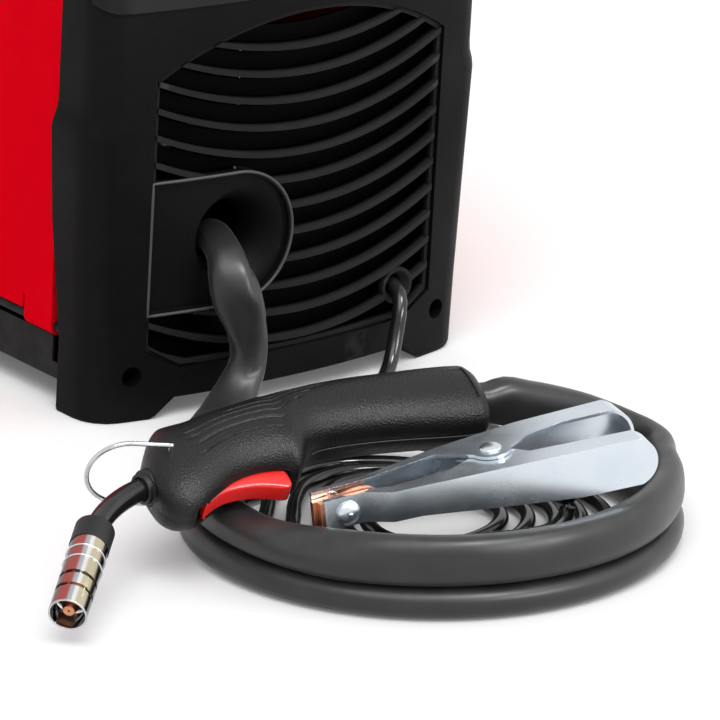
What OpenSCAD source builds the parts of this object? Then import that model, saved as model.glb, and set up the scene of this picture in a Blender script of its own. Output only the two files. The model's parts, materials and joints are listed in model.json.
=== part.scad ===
// Compact wire-feed welding machine with its torch, its earth clamp and both cables.
// +Z up, front towards -Y, +X to the viewer's right. Millimetres.
// The origin is on the floor under the middle of the case.

/* [Case] */
// Width over the shoulders of the plastic mouldings
body_w = 240; // [234:1:248]
// Length from the front moulding to the rear moulding
body_l = 460; // [440:5:500]
// Height of the top cover above the floor
body_h = 300; // [294:1:310]
// Depth of the front and rear mouldings
moulding_depth = 46; // [44:1:52]
// Wall of the plastic mouldings
wall = 3; // [2.6:0.2:3.4]
// Radius of the bow of the front face, seen from above
bow_r = 465; // [420:5:560]
// Rounding between the front face and the sides
corner_r = 18; // [16:1:20]
// Step out below each shoulder
shoulder_step = 3.5; // [2.5:0.5:4.5]
// Height of the shoulders
shoulder_z = 146; // [140:1:150]
// Height of the arch between the feet
foot_gap = 10; // [8:1:12]
// Inner edge of each foot, from the middle
foot_in = 83; // [80:1:86]
// Thickness of the steel sheet
sheet = 1.5; // [1.2:0.1:1.8]

/* [Front] */
// Half width of the grille opening
grille_hw = 87.5; // [86:0.5:89]
// Bottom of the grille opening
grille_z0 = 24.5; // [23:0.5:26]
// Height of the grille opening at its sides
grille_side_z = 169; // [167:1:171]
// Height of the grille opening in the middle
grille_top_z = 195; // [193:1:197]
// Rise from one louvre to the next
louvre_step = 13.3; // [13:0.1:14]
// Droop of each louvre in the middle
louvre_sag = 18.5; // [16:0.5:20]
// Thickness of a louvre's lip
louvre_t = 2.6; // [2.2:0.2:3]
// Middle of the torch outlet, from the centre line
outlet_x = -41; // [-42:0.5:-40]
// Height of the torch outlet
outlet_z = 85.5; // [84:0.5:87]
// Radius of the torch outlet's plate
outlet_r = 33; // [32:0.5:34]
// Middle of the earth cable's hole, from the centre line
earth_x = 64; // [63:0.5:66]
// Height of the earth cable's hole
earth_z = 42; // [41:0.5:44]
// Lower edge of the control panel
panel_z = 204; // [203:1:207]
// Lean of the control panel
panel_tilt = 10; // [8:1:11]
// Radius of a control knob
knob_r = 14; // [12:0.5:16]

/* [Side door] */
// Lower edge of the door
door_z0 = 44; // [43:0.5:46]
// Upper edge of the door
door_z1 = 261; // [256:1:264]
// Radius of the hinge rod
rod_r = 3; // [2.5:0.1:3.2]
// Height of the hinge rod
rod_z = 40.5; // [40:0.5:41]

/* [Wire feed] */
// Radius of the wire spool
spool_r = 100; // [90:1:100]
// Width of the wire spool
spool_w = 55; // [50:1:56]
// Radius of the spool's bore
spool_bore = 25.5; // [25:0.1:26]
// Height of the spool's axis
spool_z = 152; // [150:1:155]
// Radius of the drive roll
roll_r = 15; // [14:0.5:16]
// Radius of the fan rotor
fan_r = 52; // [48:1:54]

/* [Torch] */
// Radius of the swan neck's tube
neck_r = 5.2; // [5:0.1:5.4]
// Radius of the swan neck's bend
neck_bend = 62; // [60:1:64]
// Outer radius of the gas nozzle
nozzle_r = 8.7; // [8.5:0.1:9]
// Length of the gas nozzle that shows
nozzle_l = 45; // [43:1:46]

/* [Earth clamp] */
// Height of the clamp's outer channel
clamp_h = 26; // [25:0.5:26.5]
// Thickness of the clamp's steel
clamp_t = 1.5; // [1.2:0.1:1.6]
// Radius of the clamp's pivot
pivot_r = 3; // [2.5:0.1:3.2]

/* [Cables] */
// Half width of the flat torch sleeve
sleeve_a = 11.5; // [10.5:0.5:11.5]
// Half thickness of the flat torch sleeve
sleeve_b = 7.5; // [7:0.25:7.5]
// Radius of the earth cable
earth_r = 3.7; // [3.4:0.1:3.8]

/* [Hidden] */
$fn = 48;

black = [0.13, 0.13, 0.14];
red = [0.84, 0.02, 0.08];
zinc = [0.72, 0.75, 0.78];
copper = [0.72, 0.42, 0.28];
steel = [0.6, 0.62, 0.64];
brass = [0.75, 0.62, 0.3];

// Fits
run_gap = 0.05;
slide_gap = 0.15;
sheet_gap = 0.3;
eps = 0.01;

half_w = body_w / 2;
neck_hw = half_w - shoulder_step;
foot_hw = half_w - 6;
front_y = -body_l / 2;
edge_y = front_y + moulding_depth;
lip = 1.5;
cover_hw = neck_hw - lip;
cover_top = body_h - lip;
top_r = 14;
panel_t = 1.5;
tray_z = foot_gap + wall;
tray_hw = cover_hw - 6;

// ---- helpers ----
function arc(cx, cy, r, a0, a1, n) =
    [for (i = [0:n]) let (a = a0 + (a1 - a0) * i / n) [cx + r * cos(a), cy + r * sin(a)]];
function flip(l) = [for (i = [len(l) - 1:-1:0]) l[i]];
function unit(v) = v / norm(v);

// Skin over rings of equal length, counter-clockwise seen from the side they advance to
module skin(rings) {
    n = len(rings[0]);
    m = len(rings);
    points = [for (r = rings) for (p = r) p];
    sides = [for (k = [0:m - 2]) for (i = [0:n - 1])
        let (a = k * n + i, b = k * n + (i + 1) % n)
        each [[a, a + n, b + n], [a, b + n, b]]];
    polyhedron(points, concat(sides, [[for (i = [0:n - 1]) i]],
        [[for (i = [n - 1:-1:0]) (m - 1) * n + i]]), convexity = 8);
}

// Tube along rows [x, y, z, turn, half width, half thickness]; turn aims the wide side in plan,
// and a turn of "up" stands it on edge
function tangent(p, i) = unit(p[min(i + 1, len(p) - 1)] - p[max(i - 1, 0)]);
function tube_ring(p, i, side, a, b, n) =
    let (t = tangent(p, i), s = unit(side - (side * t) * t), w = cross(t, s))
    [for (k = [0:n - 1]) p[i] + a * cos(k * 360 / n) * s + b * sin(k * 360 / n) * w];
module tube(p, sides, a, b, n) {
    skin([for (i = [0:len(p) - 1]) tube_ring(p, i, sides[i], a[i], b[i], n)]);
}
function all_of(v, n) = [for (i = [1:n]) v];

// Extrudes a front-view outline along Y
module y_extrude(y0, y1) {
    translate([0, y1, 0]) rotate([90, 0, 0]) linear_extrude(y1 - y0) children();
}
module x_extrude(x0, x1) {
    translate([x0, 0, 0]) rotate([90, 0, 90]) linear_extrude(x1 - x0) children();
}
module y_rod(x, y0, y1, z, r) {
    translate([x, y1, z]) rotate([90, 0, 0]) cylinder(r = r, h = y1 - y0);
}
module x_rod(x0, x1, y, z, r) {
    translate([x0, y, z]) rotate([0, 90, 0]) cylinder(r = r, h = x1 - x0);
}
module rounded_square(w, h, r) {
    square([w - 2 * r, h], center = true);
    square([w, h - 2 * r], center = true);
    for (x = [-1, 1]) for (y = [-1, 1])
        translate([x * (w / 2 - r), y * (h / 2 - r)]) circle(r = r);
}

// ---- mouldings ----
leg_z = 38;
rear_bow = 4000;
half_width_rows = [[0, foot_hw - 0.8], [2, foot_hw], [leg_z, foot_hw + 1],
    [shoulder_z - 50, half_w - 2.4], [shoulder_z - 12, half_w - 0.4], [shoulder_z - 4, half_w],
    [shoulder_z, half_w - 0.8], [shoulder_z + 5, neck_hw + 0.6], [shoulder_z + 9, neck_hw]];
back_rows = [[0, moulding_depth - 4.5], [leg_z, moulding_depth - 6], [100, moulding_depth]];
function top_in(z) = z > body_h - top_r ? top_r - sqrt(pow(top_r, 2) - pow(z - body_h + top_r, 2)) : 0;
function width_at(z) = lookup(z, half_width_rows) - top_in(z);
function set_at(z, tilt) = (z < 2 ? 1 - z / 2 : 0) + top_in(z)
    + max(0, min(z, body_h - top_r) - panel_z) * tan(tilt);
function plan_ring(z, tilt, bow, back, t) =
    let (w = width_at(z) - t, r = corner_r - t, y0 = set_at(z, tilt) + t, big = bow - t,
         cy = y0 + big - sqrt(pow(big - r, 2) - pow(w - r, 2)),
         a = atan2(cy - y0 - big, w - r),
         nose = arc(0, y0 + big, big, a, -180 - a, 14),
         ring = concat([[w, back]], arc(w - r, cy, r, 0, a, 4),
             [for (i = [1:13]) nose[i]], arc(r - w, cy, r, -180 - a, -180, 4), [[-w, back]]))
    [for (p = flip(ring)) [p.x, p.y, z]];
outer_z = concat([0, 2, leg_z, shoulder_z - 50, shoulder_z - 12, shoulder_z - 4, shoulder_z,
    shoulder_z + 5, shoulder_z + 9, panel_z],
    [for (i = [0:4]) body_h - top_r + top_r * sin(i * 22.5) * 0.999]);
module moulding_form(tilt, bow, t, open) {
    zs = t > 1 ? concat([tray_z], [for (z = outer_z) if (z > tray_z && z < body_h - t - 1) z],
        [body_h - t]) : outer_z;
    skin([for (z = zs) plan_ring(z, tilt, bow, lookup(z, back_rows) + open, t)]);
}
module foot_arch(y0, y1) {
    top = foot_in - 12;
    y_extrude(y0, y1) polygon([[-foot_in, -1], [foot_in, -1], [foot_in, 0], [top, foot_gap],
        [-top, foot_gap], [-foot_in, 0]]);
}
foot_screw_x = 94;
foot_screw_z = 23;
module foot_bosses(bow) {
    set = bow - sqrt(pow(bow, 2) - pow(foot_screw_x + 8.5, 2));
    for (x = [-1, 1]) y_rod(x * foot_screw_x, set + 0.5, moulding_depth - 8, foot_screw_z, 8.5);
}
module foot_holes() {
    for (x = [-1, 1]) {
        y_rod(x * foot_screw_x, -5, 30, foot_screw_z, 5);
        y_rod(x * foot_screw_x, 29, moulding_depth, foot_screw_z, 2.2);
    }
}
// Blocks that carry the ends of the hinge rod
rod_x = -(cover_hw - 4.6);
rod_end = moulding_depth - 12;
module rod_block() {
    translate([rod_x - 2, rod_end, rod_z - 6]) cube([8, 5.4, 12]);
}
// Section of the cover: top, right side and a short left side
module cover_section(grow) {
    difference() {
        intersection() {
            translate([0, cover_top / 2])
                rounded_square(2 * (cover_hw + grow), cover_top + 2 * grow, top_r - lip + grow);
            union() {
                translate([-half_w, door_z1 + 0.5 - grow]) square([body_w, 80]);
                translate([0, tray_z + 21 - grow]) square([half_w + 5, body_h]);
            }
        }
        translate([0, cover_top / 2])
            rounded_square(2 * (cover_hw - sheet - grow), cover_top - 2 * (sheet + grow), top_r - lip - sheet - grow);
    }
}
seat = 5;
cover_end = body_l / 2 - moulding_depth + seat;
module cover_seat() {
    y_extrude(moulding_depth - seat - 0.1, moulding_depth + 10) intersection() {
        translate([0, cover_top / 2])
            rounded_square(2 * (cover_hw + 0.1), cover_top + 0.2, top_r - lip + 0.1);
        union() {
            translate([-half_w, door_z1 + 0.4]) square([body_w, 80]);
            translate([0, tray_z + 20.9]) square([half_w + 5, body_h]);
        }
    }
}

// Plan cylinder shells that follow the bow, i0 and i1 behind the face
module bow_shell(i0, i1) {
    translate([0, front_y + bow_r, 1]) difference() {
        cylinder(r = bow_r - i0, h = 230, $fn = 180);
        translate([0, 0, -1]) cylinder(r = bow_r - i1, h = 232, $fn = 180);
    }
}
arch_rise = grille_top_z - grille_side_z;
arch_r = (pow(grille_hw, 2) + pow(arch_rise, 2)) / (2 * arch_rise);
module grille_outline(d) {
    intersection() {
        polygon([[-grille_hw + 19, grille_z0 + d], [grille_hw - 19, grille_z0 + d],
            [grille_hw - d, grille_z0 + 10 + d], [grille_hw - d, grille_top_z + 9],
            [-grille_hw + d, grille_top_z + 9], [-grille_hw + d, grille_z0 + 10 + d]]);
        translate([0, grille_top_z - arch_r]) circle(r = arch_r - d, $fn = 180);
    }
}
module outlet_outline(d) {
    translate([outlet_x, outlet_z]) circle(r = outlet_r - d, $fn = 96);
    translate([-grille_hw + sheet_gap + d, outlet_z - outlet_r + d])
        square([outlet_x + grille_hw - sheet_gap - d, 2 * (outlet_r - d)]);
}

module front_frame() {
    color(black) translate([0, front_y, 0]) difference() {
        union() {
            difference() {
                moulding_form(panel_tilt, bow_r, 0, 0);
                moulding_form(panel_tilt, bow_r, wall, 20);
                foot_arch(-5, moulding_depth + 5);
            }
            foot_bosses(bow_r);
            rod_block();
        }
        foot_holes();
        y_extrude(-5, 20) grille_outline(0);
        y_rod(rod_x, rod_end + 0.4, moulding_depth + 5, rod_z, rod_r + run_gap);
        cover_seat();
        panel_holes();
    }
}

louvre_r = (pow(grille_hw, 2) + pow(louvre_sag, 2)) / (2 * louvre_sag);
louvre_n = 13;
louvre_top = 194.6;
module louvre_bands(low, high) {
    for (k = [0:louvre_n - 1])
        translate([0, louvre_top - k * louvre_step + louvre_r - louvre_sag]) difference() {
            circle(r = louvre_r + low, $fn = 180);
            circle(r = louvre_r - high, $fn = 180);
        }
}
module front_grille() {
    color(black) difference() {
        union() {
            intersection() {
                bow_shell(0.8, 10.5);
                y_extrude(front_y - 2, front_y + 40) intersection() {
                    louvre_bands(louvre_t / 2, louvre_t / 2);
                    grille_outline(1.5);
                }
            }
            intersection() {
                bow_shell(9, 10.5);
                y_extrude(front_y - 2, front_y + 40) intersection() {
                    louvre_bands(louvre_t / 2, louvre_step - 4);
                    grille_outline(1.5);
                }
            }
            intersection() {
                bow_shell(2.2, 12);
                y_extrude(front_y - 2, front_y + 40) difference() {
                    grille_outline(sheet_gap);
                    grille_outline(2.6);
                }
            }
            intersection() {
                bow_shell(wall + 0.1, wall + 2.5);
                y_extrude(front_y - 2, front_y + 40) difference() {
                    grille_outline(-5);
                    grille_outline(2.6);
                }
            }
            y_rod(earth_x, front_y + 4.5, front_y + 24, earth_z, earth_r + 5.5);
        }
        y_extrude(front_y - 5, front_y + 15.5) outlet_outline(-sheet_gap);
        for (x = [-1, 1]) y_rod(x * foot_screw_x, front_y, front_y + 40, foot_screw_z, 9);
        y_rod(outlet_x, front_y, front_y + 40, outlet_z, funnel_r + 1);
        y_rod(earth_x, front_y - 2, front_y + 21, earth_z, earth_r + 0.5);
        translate([earth_x, front_y + 3.5, earth_z]) rotate([-90, 0, 0])
            cylinder(r1 = earth_r + 4.5, r2 = earth_r + 0.5, h = 6);
    }
}

// Trumpet-shaped mouth of the torch outlet
funnel_r = outlet_r - 3;
throat_r = 15;
funnel_in = 21;
function trumpet() = [for (i = [0:8]) let (a = i * 11.25)
    [throat_r + (funnel_r - throat_r) * (1 - cos(a)), -(funnel_in - 3) * (1 - sin(a))]];
module torch_outlet() {
    face = front_y + bow_r - sqrt(pow(bow_r, 2) - pow(outlet_x, 2)) + 1.2;
    color(black) difference() {
        union() {
            intersection() {
                bow_shell(2.4, 6);
                y_extrude(front_y - 2, front_y + 30) outlet_outline(0);
            }
            intersection() {
                bow_shell(0.6, 6);
                y_extrude(front_y - 2, front_y + 30) difference() {
                    outlet_outline(0);
                    outlet_outline(1.6);
                }
            }
            intersection() {
                translate([outlet_x, face, outlet_z]) rotate([90, 0, 0]) rotate_extrude($fn = 64)
                    polygon([[throat_r - 2, -funnel_in], [throat_r + 3, -funnel_in], [funnel_r - 4, -9],
                        [funnel_r + 1.5, -3], [funnel_r + 1.5, 2], [throat_r - 2, 2]]);
                bow_shell(2.4, 60);
            }
        }
        translate([outlet_x, face, outlet_z]) rotate([90, 0, 0]) rotate_extrude($fn = 64)
            polygon(concat([[0, -funnel_in - 5], [throat_r, -funnel_in - 5]], trumpet(),
                [[funnel_r, 12], [0, 12]]));
    }
}

// ---- control panel ----
function bow_at(x) = bow_r - sqrt(pow(bow_r, 2) - pow(x, 2));
module on_panel(x, z) {
    translate([x, set_at(z, panel_tilt) + bow_at(x), z]) rotate([90 - panel_tilt, 0, 0]) children();
}
knob_x = 66;
knob_z = 238;
button_x = 22;
button_z = 226;
button_r = 5;
shaft_r = 3;
lens_w = 62;
lens_h = 27;
lens_z = 258;
panel_top = body_h - top_r - 5;
module panel_holes() {
    for (x = [-1, 1]) {
        on_panel(x * knob_x, knob_z) translate([0, 0, -12]) cylinder(r = knob_r + 2 + sheet_gap, h = 20);
        on_panel(x * button_x, button_z) translate([0, 0, -12]) cylinder(r = button_r + 1, h = 20);
    }
}
function panel_ring(z, t) = let (ring = plan_ring(z, panel_tilt, bow_r, 0, -t))
    [for (i = [2:len(ring) - 3]) ring[i]];
module band(a, b, c, d) {
    skin([for (i = [0:len(a) - 1]) [a[i], b[i], c[i], d[i]]]);
}
module control_panel() {
    color([0.05, 0.05, 0.06]) translate([0, front_y, 0]) difference() {
        union() {
            intersection() {
                band(panel_ring(panel_z, panel_t), panel_ring(panel_z, 0.05),
                    panel_ring(panel_top, 0.05), panel_ring(panel_top, panel_t));
                y_extrude(-5, 60) translate([0, (panel_z + panel_top) / 2])
                    rounded_square(2 * (neck_hw + 2.5), panel_top - panel_z, 10);
            }
            for (x = [-1, 1]) on_panel(x * knob_x, knob_z) translate([0, 0, -8])
                cylinder(r = knob_r + 2, h = 12.4);
        }
        for (x = [-1, 1]) {
            on_panel(x * knob_x, knob_z) translate([0, 0, -7]) cylinder(r = shaft_r + run_gap, h = 20);
            on_panel(x * button_x, button_z) translate([0, 0, -12]) cylinder(r = button_r + slide_gap, h = 20);
        }
        on_panel(0, lens_z) translate([-lens_w / 2 - 0.2, -lens_h / 2 - 0.2, 0.35]) cube([lens_w + 0.4, lens_h + 0.4, 5]);
    }
}
module display_lens() {
    color([0.02, 0.02, 0.03]) translate([0, front_y, 0]) on_panel(0, lens_z)
        translate([0, 0, 0.35]) linear_extrude(1.9) rounded_square(lens_w, lens_h, 2);
}
module knob(side) {
    color(black) translate([0, front_y, 0]) on_panel(side * knob_x, knob_z) {
        difference() {
            union() {
                translate([0, 0, 4.8]) cylinder(r = knob_r, h = 3.2);
                translate([0, 0, 8]) cylinder(r = knob_r - 2.4, h = 10);
                translate([0, 0, -5.5]) cylinder(r = shaft_r, h = 12);
            }
            for (i = [0:17]) rotate([0, 0, i * 20]) translate([knob_r - 1.2, 0, 9.2]) cylinder(r = 1.7, h = 12, $fn = 16);
            translate([0, 0, 17.2]) cylinder(r = knob_r - 4.6, h = 3);
        }
        rotate([0, 0, -30]) translate([-0.6, 3, 17]) cube([1.2, knob_r - 6.6, 1.4]);
    }
}
module panel_button(side) {
    color([0.75, 0.76, 0.78]) translate([0, front_y, 0]) on_panel(side * button_x, button_z)
        translate([0, 0, -6]) cylinder(r = button_r, h = 9.5);
}

// ---- rear ----
rear_y = body_l / 2;
fan_x = half_w - 75;
fan_z = 150;
fan_hole = fan_r + 6;
switch_x = -70;
switch_z = 235;
switch_w = 24;
switch_h = 30;
gland_x = -72;
gland_z = 62;
gas_x = -30;
gas_z = 62;
gas_r = 4;
module at_rear() {
    rotate([0, 0, 180]) translate([0, -rear_y, 0]) children();
}
module rear_frame() {
    color(black) at_rear() difference() {
        union() {
            difference() {
                moulding_form(0, rear_bow, 0, 0);
                moulding_form(0, rear_bow, wall, 20);
                foot_arch(-5, moulding_depth + 5);
            }
            foot_bosses(rear_bow);
            mirror([1, 0, 0]) rod_block();
        }
        foot_holes();
        y_rod(-fan_x, -5, 20, fan_z, fan_hole);
        mirror([1, 0, 0]) y_rod(rod_x, rod_end + 0.4, moulding_depth + 5, rod_z, rod_r + run_gap);
        mirror([1, 0, 0]) cover_seat();
        translate([-switch_x - switch_w / 2, -5, switch_z - switch_h / 2]) cube([switch_w, 20, switch_h]);
        y_rod(-gland_x, -5, 20, gland_z, 10);
        y_rod(-gas_x, -5, 20, gas_z, 7);
    }
}
module rear_grille() {
    color([0.1, 0.1, 0.11]) at_rear() intersection() {
        y_extrude(1.2, 4.2) translate([-fan_x, fan_z]) union() {
            for (i = [0:6]) difference() {
                circle(r = 10 + i * 8);
                circle(r = 7.4 + i * 8);
            }
            for (a = [0:60:300]) rotate(a + 15) translate([8, -1.3]) square([fan_hole - 8.2, 2.6]);
            circle(r = 3.6);
            difference() {
                circle(r = fan_hole - 0.15);
                circle(r = fan_hole - 2.5);
            }
            square([16, 2.6], center = true);
        }
        translate([-fan_x - 70, 0, fan_z - 70]) cube([140, 20, 140]);
    }
}
module switch_housing() {
    color([0.08, 0.08, 0.09]) at_rear() translate([-switch_x, 0, switch_z]) difference() {
        union() {
            translate([-switch_w / 2 - 2, -2, -switch_h / 2 - 2]) cube([switch_w + 4, 2, switch_h + 4]);
            translate([-switch_w / 2 + 0.1, -0.5, -switch_h / 2 + 0.1]) cube([switch_w - 0.2, 24, switch_h - 0.2]);
        }
        translate([-switch_w / 2 + 2.4, -5, -switch_h / 2 + 2.4]) cube([switch_w - 4.8, 19, switch_h - 4.8]);
        translate([-switch_w / 2 + 1, 6, 0]) rotate([0, 90, 0]) cylinder(r = 2 + run_gap, h = switch_w - 2);
    }
}
module switch_rocker() {
    color(red) at_rear() translate([-switch_x, 6, switch_z]) {
        difference() {
            intersection() {
                rotate([0, 90, 0]) cylinder(r = 12, h = switch_w - 5.6, center = true);
                translate([0, -8, 0]) cube([switch_w, 16, switch_h - 7.4], center = true);
            }
            translate([0, -32, 0]) rotate([0, 90, 0]) cylinder(r = 22.4, h = switch_w, center = true);
        }
        rotate([0, 90, 0]) cylinder(r = 2, h = switch_w - 2.6, center = true);
    }
}
module mains_gland() {
    color([0.1, 0.1, 0.1]) at_rear() translate([-gland_x, 0, gland_z]) rotate([90, 0, 0]) difference() {
        union() {
            translate([0, 0, 0]) cylinder(r = 13.5, h = 6, $fn = 6);
            translate([0, 0, 6]) cylinder(r = 11, h = 6);
            translate([0, 0, 12]) cylinder(r1 = 11, r2 = 8.5, h = 6);
            translate([0, 0, -8]) cylinder(r = 9.9, h = 8);
            translate([0, 0, -8.6]) cylinder(r = 13, h = 4.6, $fn = 6);
        }
        translate([0, 0, -10]) cylinder(r = 5, h = 40);
    }
}
module gas_inlet() {
    color(brass) at_rear() translate([-gas_x, 0, gas_z]) rotate([90, 0, 0]) difference() {
        union() {
            cylinder(r = 10, h = 5, $fn = 6);
            translate([0, 0, 5]) cylinder(r = 6.5, h = 5);
            translate([0, 0, 10]) cylinder(r = gas_r, h = 18);
            translate([0, 0, -12]) cylinder(r = 6.9, h = 12);
            translate([0, 0, -7.6]) cylinder(r = 9.5, h = 4.2, $fn = 6);
        }
        translate([0, 0, -13]) cylinder(r = 2, h = 45);
    }
}

// ---- sheet metal ----
module cover() {
    color(red) difference() {
        y_extrude(-cover_end, cover_end) cover_section(0);
        for (y = [-1, 1]) for (x = [-20, 20]) translate([x, y * handle_y, cover_top - 5]) cylinder(r = 2.6, h = 10);
    }
    color(red) translate([cover_hw - 9, -cover_end + seat + 8, tray_z + 21])
        cube([9 - eps, 2 * (cover_end - seat - 8), sheet]);
}
module base_tray() {
    tl = body_l / 2 - moulding_depth + 18;
    color([0.12, 0.12, 0.12]) difference() {
        translate([-tray_hw, -tl, tray_z]) cube([2 * tray_hw, 2 * tl, 21]);
        translate([-tray_hw + sheet, -tl - 1, tray_z + sheet]) cube([2 * (tray_hw - sheet), 2 * tl + 2, 30]);
        for (y = [-1, 1]) translate([-tray_hw - 1, y > 0 ? tl - 24 : -tl - 1, tray_z + 8])
            cube([10, 25, 30]);
    }
}
divider_x = -10;
module divider() {
    dl = body_l / 2 - moulding_depth + 2;
    color(zinc) difference() {
        translate([divider_x, -dl, tray_z + sheet]) cube([sheet, 2 * dl, cover_top - sheet - tray_z - sheet - 0.4]);
        x_rod(divider_x - 5, divider_x + 10, spool_y, spool_z, 8);
        x_rod(divider_x - 5, divider_x + 10, roll_y, roll_z, 12);
    }
    color(zinc) translate([divider_x, -dl, tray_z + sheet]) cube([14, 2 * dl, sheet]);
}
door_gap = 0.6;
door_l = body_l - 2 * moulding_depth - 2 * door_gap;
knuckle_l = 21;
latch_y = 0;
latch_z = 238;
module side_door() {
    color(red) difference() {
        union() {
            translate([-cover_hw, -door_l / 2, door_z0]) cube([10, door_l, door_z1 - door_z0]);
            for (s = [-1, 1]) {
                y_rod(rod_x, s > 0 ? door_l / 2 - knuckle_l : -door_l / 2,
                    s > 0 ? door_l / 2 : -door_l / 2 + knuckle_l, rod_z, 4.6);
                translate([-cover_hw, s > 0 ? door_l / 2 - knuckle_l : -door_l / 2, rod_z])
                    cube([sheet, knuckle_l, door_z0 - rod_z + 2]);
            }
        }
        translate([-cover_hw + sheet, -door_l / 2 + sheet, door_z0 + sheet])
            cube([20, door_l - 2 * sheet, door_z1 - door_z0 - 2 * sheet]);
        y_rod(rod_x, -door_l, door_l, rod_z, rod_r + run_gap);
        x_rod(-cover_hw - 5, -cover_hw + 20, latch_y, latch_z, 5 + run_gap);
        for (s = [-1, 1]) translate([-cover_hw - 1, s * (door_l / 2 - knuckle_l - 0.8) - 0.8, door_z0 - 1])
            cube([20, 1.6, 8]);
    }
}
module door_latch() {
    color(black) {
        x_rod(-cover_hw - 3, -cover_hw - 0.1, latch_y, latch_z, 12);
        x_rod(-cover_hw - 1, -cover_hw + 9, latch_y, latch_z, 5);
        translate([-cover_hw - 9, latch_y - 2.5, latch_z - 11]) cube([7, 5, 22]);
        translate([-cover_hw + 5.5, latch_y - 5, latch_z - 3]) cube([2, 10, 20]);
    }
}
module hinge_rod() {
    reach = body_l / 2 - rod_end - 0.6;
    color(steel) y_rod(rod_x, -reach, reach, rod_z, rod_r);
}
handle_y = 150;
handle_r = 13;
handle_z = 347;
bend = 30;
module carry_handle() {
    leg = handle_y - bend;
    color(black) difference() {
        union() {
            y_rod(0, -leg, leg, handle_z, handle_r);
            for (s = [0, 180]) rotate([0, 0, s]) {
                translate([0, leg, handle_z - bend]) rotate([90, 0, 90])
                    rotate_extrude(angle = 90) translate([bend, 0]) circle(r = handle_r);
                translate([0, handle_y, cover_top + 5]) cylinder(r = handle_r, h = handle_z - bend - cover_top - 5);
                translate([0, handle_y, cover_top + 0.1]) linear_extrude(6) rounded_square(62, 40, 10);
            }
        }
        for (y = [-1, 1]) for (x = [-20, 20]) {
            translate([x, y * handle_y, cover_top - 5]) cylinder(r = 2.6, h = 20);
            translate([x, y * handle_y, cover_top + 3.5]) cylinder(r = 4.8, h = 20);
        }
    }
}
module body_screws() {
    color(steel) {
        for (s = [0, 180]) rotate([0, 0, s]) for (x = [-1, 1]) difference() {
            union() {
                y_rod(x * foot_screw_x, front_y + 24, front_y + 28.9, foot_screw_z, 4);
                y_rod(x * foot_screw_x, front_y + 28, front_y + 44, foot_screw_z, 2.1);
            }
            y_rod(x * foot_screw_x, front_y + 22, front_y + 26, foot_screw_z, 1.8);
        }
        for (y = [-1, 1]) for (x = [-20, 20]) translate([x, y * handle_y, 0]) difference() {
            union() {
                translate([0, 0, cover_top + 3.6]) cylinder(r = 4.4, h = 2.6);
                translate([0, 0, cover_top - 8]) cylinder(r = 2.5, h = 13);
            }
            translate([0, 0, cover_top + 4.6]) cylinder(r = 2, h = 4, $fn = 6);
        }
    }
}

// ---- wire feed ----
spool_y = 72;
spool_x = -34;
roll_y = front_y + 112;
roll_x = outlet_x;
wire_gap = 0.8;
roll_z = outlet_z - roll_r - wire_gap / 2;
idler_r = 11;
idler_z = outlet_z + idler_r + wire_gap / 2;
module spool_spindle() {
    tip = spool_x - spool_w - 2;
    color([0.2, 0.2, 0.22]) {
        difference() {
            x_rod(tip, divider_x, spool_y, spool_z, spool_bore - 0.5);
            x_rod(tip - 1, divider_x - 6, spool_y, spool_z, 12);
        }
        x_rod(spool_x + 1, divider_x, spool_y, spool_z, 34);
        x_rod(divider_x - 1, divider_x + 8, spool_y, spool_z, 7.9);
    }
}
module wire_spool() {
    color([0.25, 0.26, 0.28]) difference() {
        union() {
            x_rod(spool_x - spool_w, spool_x - spool_w + 3, spool_y, spool_z, spool_r);
            x_rod(spool_x - 3, spool_x, spool_y, spool_z, spool_r);
            x_rod(spool_x - spool_w, spool_x, spool_y, spool_z, 45);
        }
        x_rod(spool_x - spool_w - 1, spool_x + 1, spool_y, spool_z, spool_bore - 0.44);
        for (a = [0:60:300]) translate([0, spool_y, spool_z]) rotate([a, 0, 0])
            x_rod(spool_x - spool_w - 1, spool_x + 1, 0, 72, 10);
    }
}
module wire_winding() {
    color(copper) difference() {
        x_rod(spool_x - spool_w + 3.1, spool_x - 3.1, spool_y, spool_z, spool_r - 10);
        x_rod(spool_x - spool_w, spool_x, spool_y, spool_z, 45.1);
    }
}
feed_x0 = -26;
module feed_plate() {
    color([0.3, 0.31, 0.33]) difference() {
        union() {
            translate([feed_x0, roll_y - 50, 52]) cube([divider_x - feed_x0, 100, 74]);
            translate([roll_x - 7, roll_y - 48, outlet_z - 14]) cube([feed_x0 - roll_x + 8, 12, 20]);
            translate([roll_x - 7, roll_y + 38, outlet_z - 14]) cube([feed_x0 - roll_x + 8, 12, 20]);
        }
        x_rod(feed_x0 - 5, divider_x + 5, roll_y, roll_z, 6 + run_gap);
        x_rod(feed_x0 - 5, divider_x - 6, arm_y, arm_z, 4 + run_gap);
        y_rod(roll_x, roll_y - 52, roll_y + 58, outlet_z, 4.02);
    }
}
module feed_motor() {
    color([0.35, 0.36, 0.38]) {
        difference() {
            translate([divider_x + sheet + 0.1, roll_y - 32, roll_z - 26]) cube([34, 64, 58]);
            x_rod(divider_x, divider_x + 14, roll_y, roll_z, 6.5);
        }
        x_rod(divider_x + sheet + 34, divider_x + 104, roll_y, roll_z + 8, 26);
    }
}
module drive_roll() {
    color(steel) difference() {
        union() {
            x_rod(roll_x - 6, roll_x + 6, roll_y, roll_z, roll_r);
            x_rod(roll_x - 9, divider_x + 8, roll_y, roll_z, 6);
        }
        for (x = [-3, 3]) translate([roll_x + x, roll_y, roll_z]) rotate([0, 90, 0])
            rotate_extrude() translate([roll_r + 0.3, 0]) circle(r = 0.9, $fn = 16);
    }
}
arm_x = roll_x + 7.5;
arm_y = roll_y - 32;
arm_z = outlet_z + 24;
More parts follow.
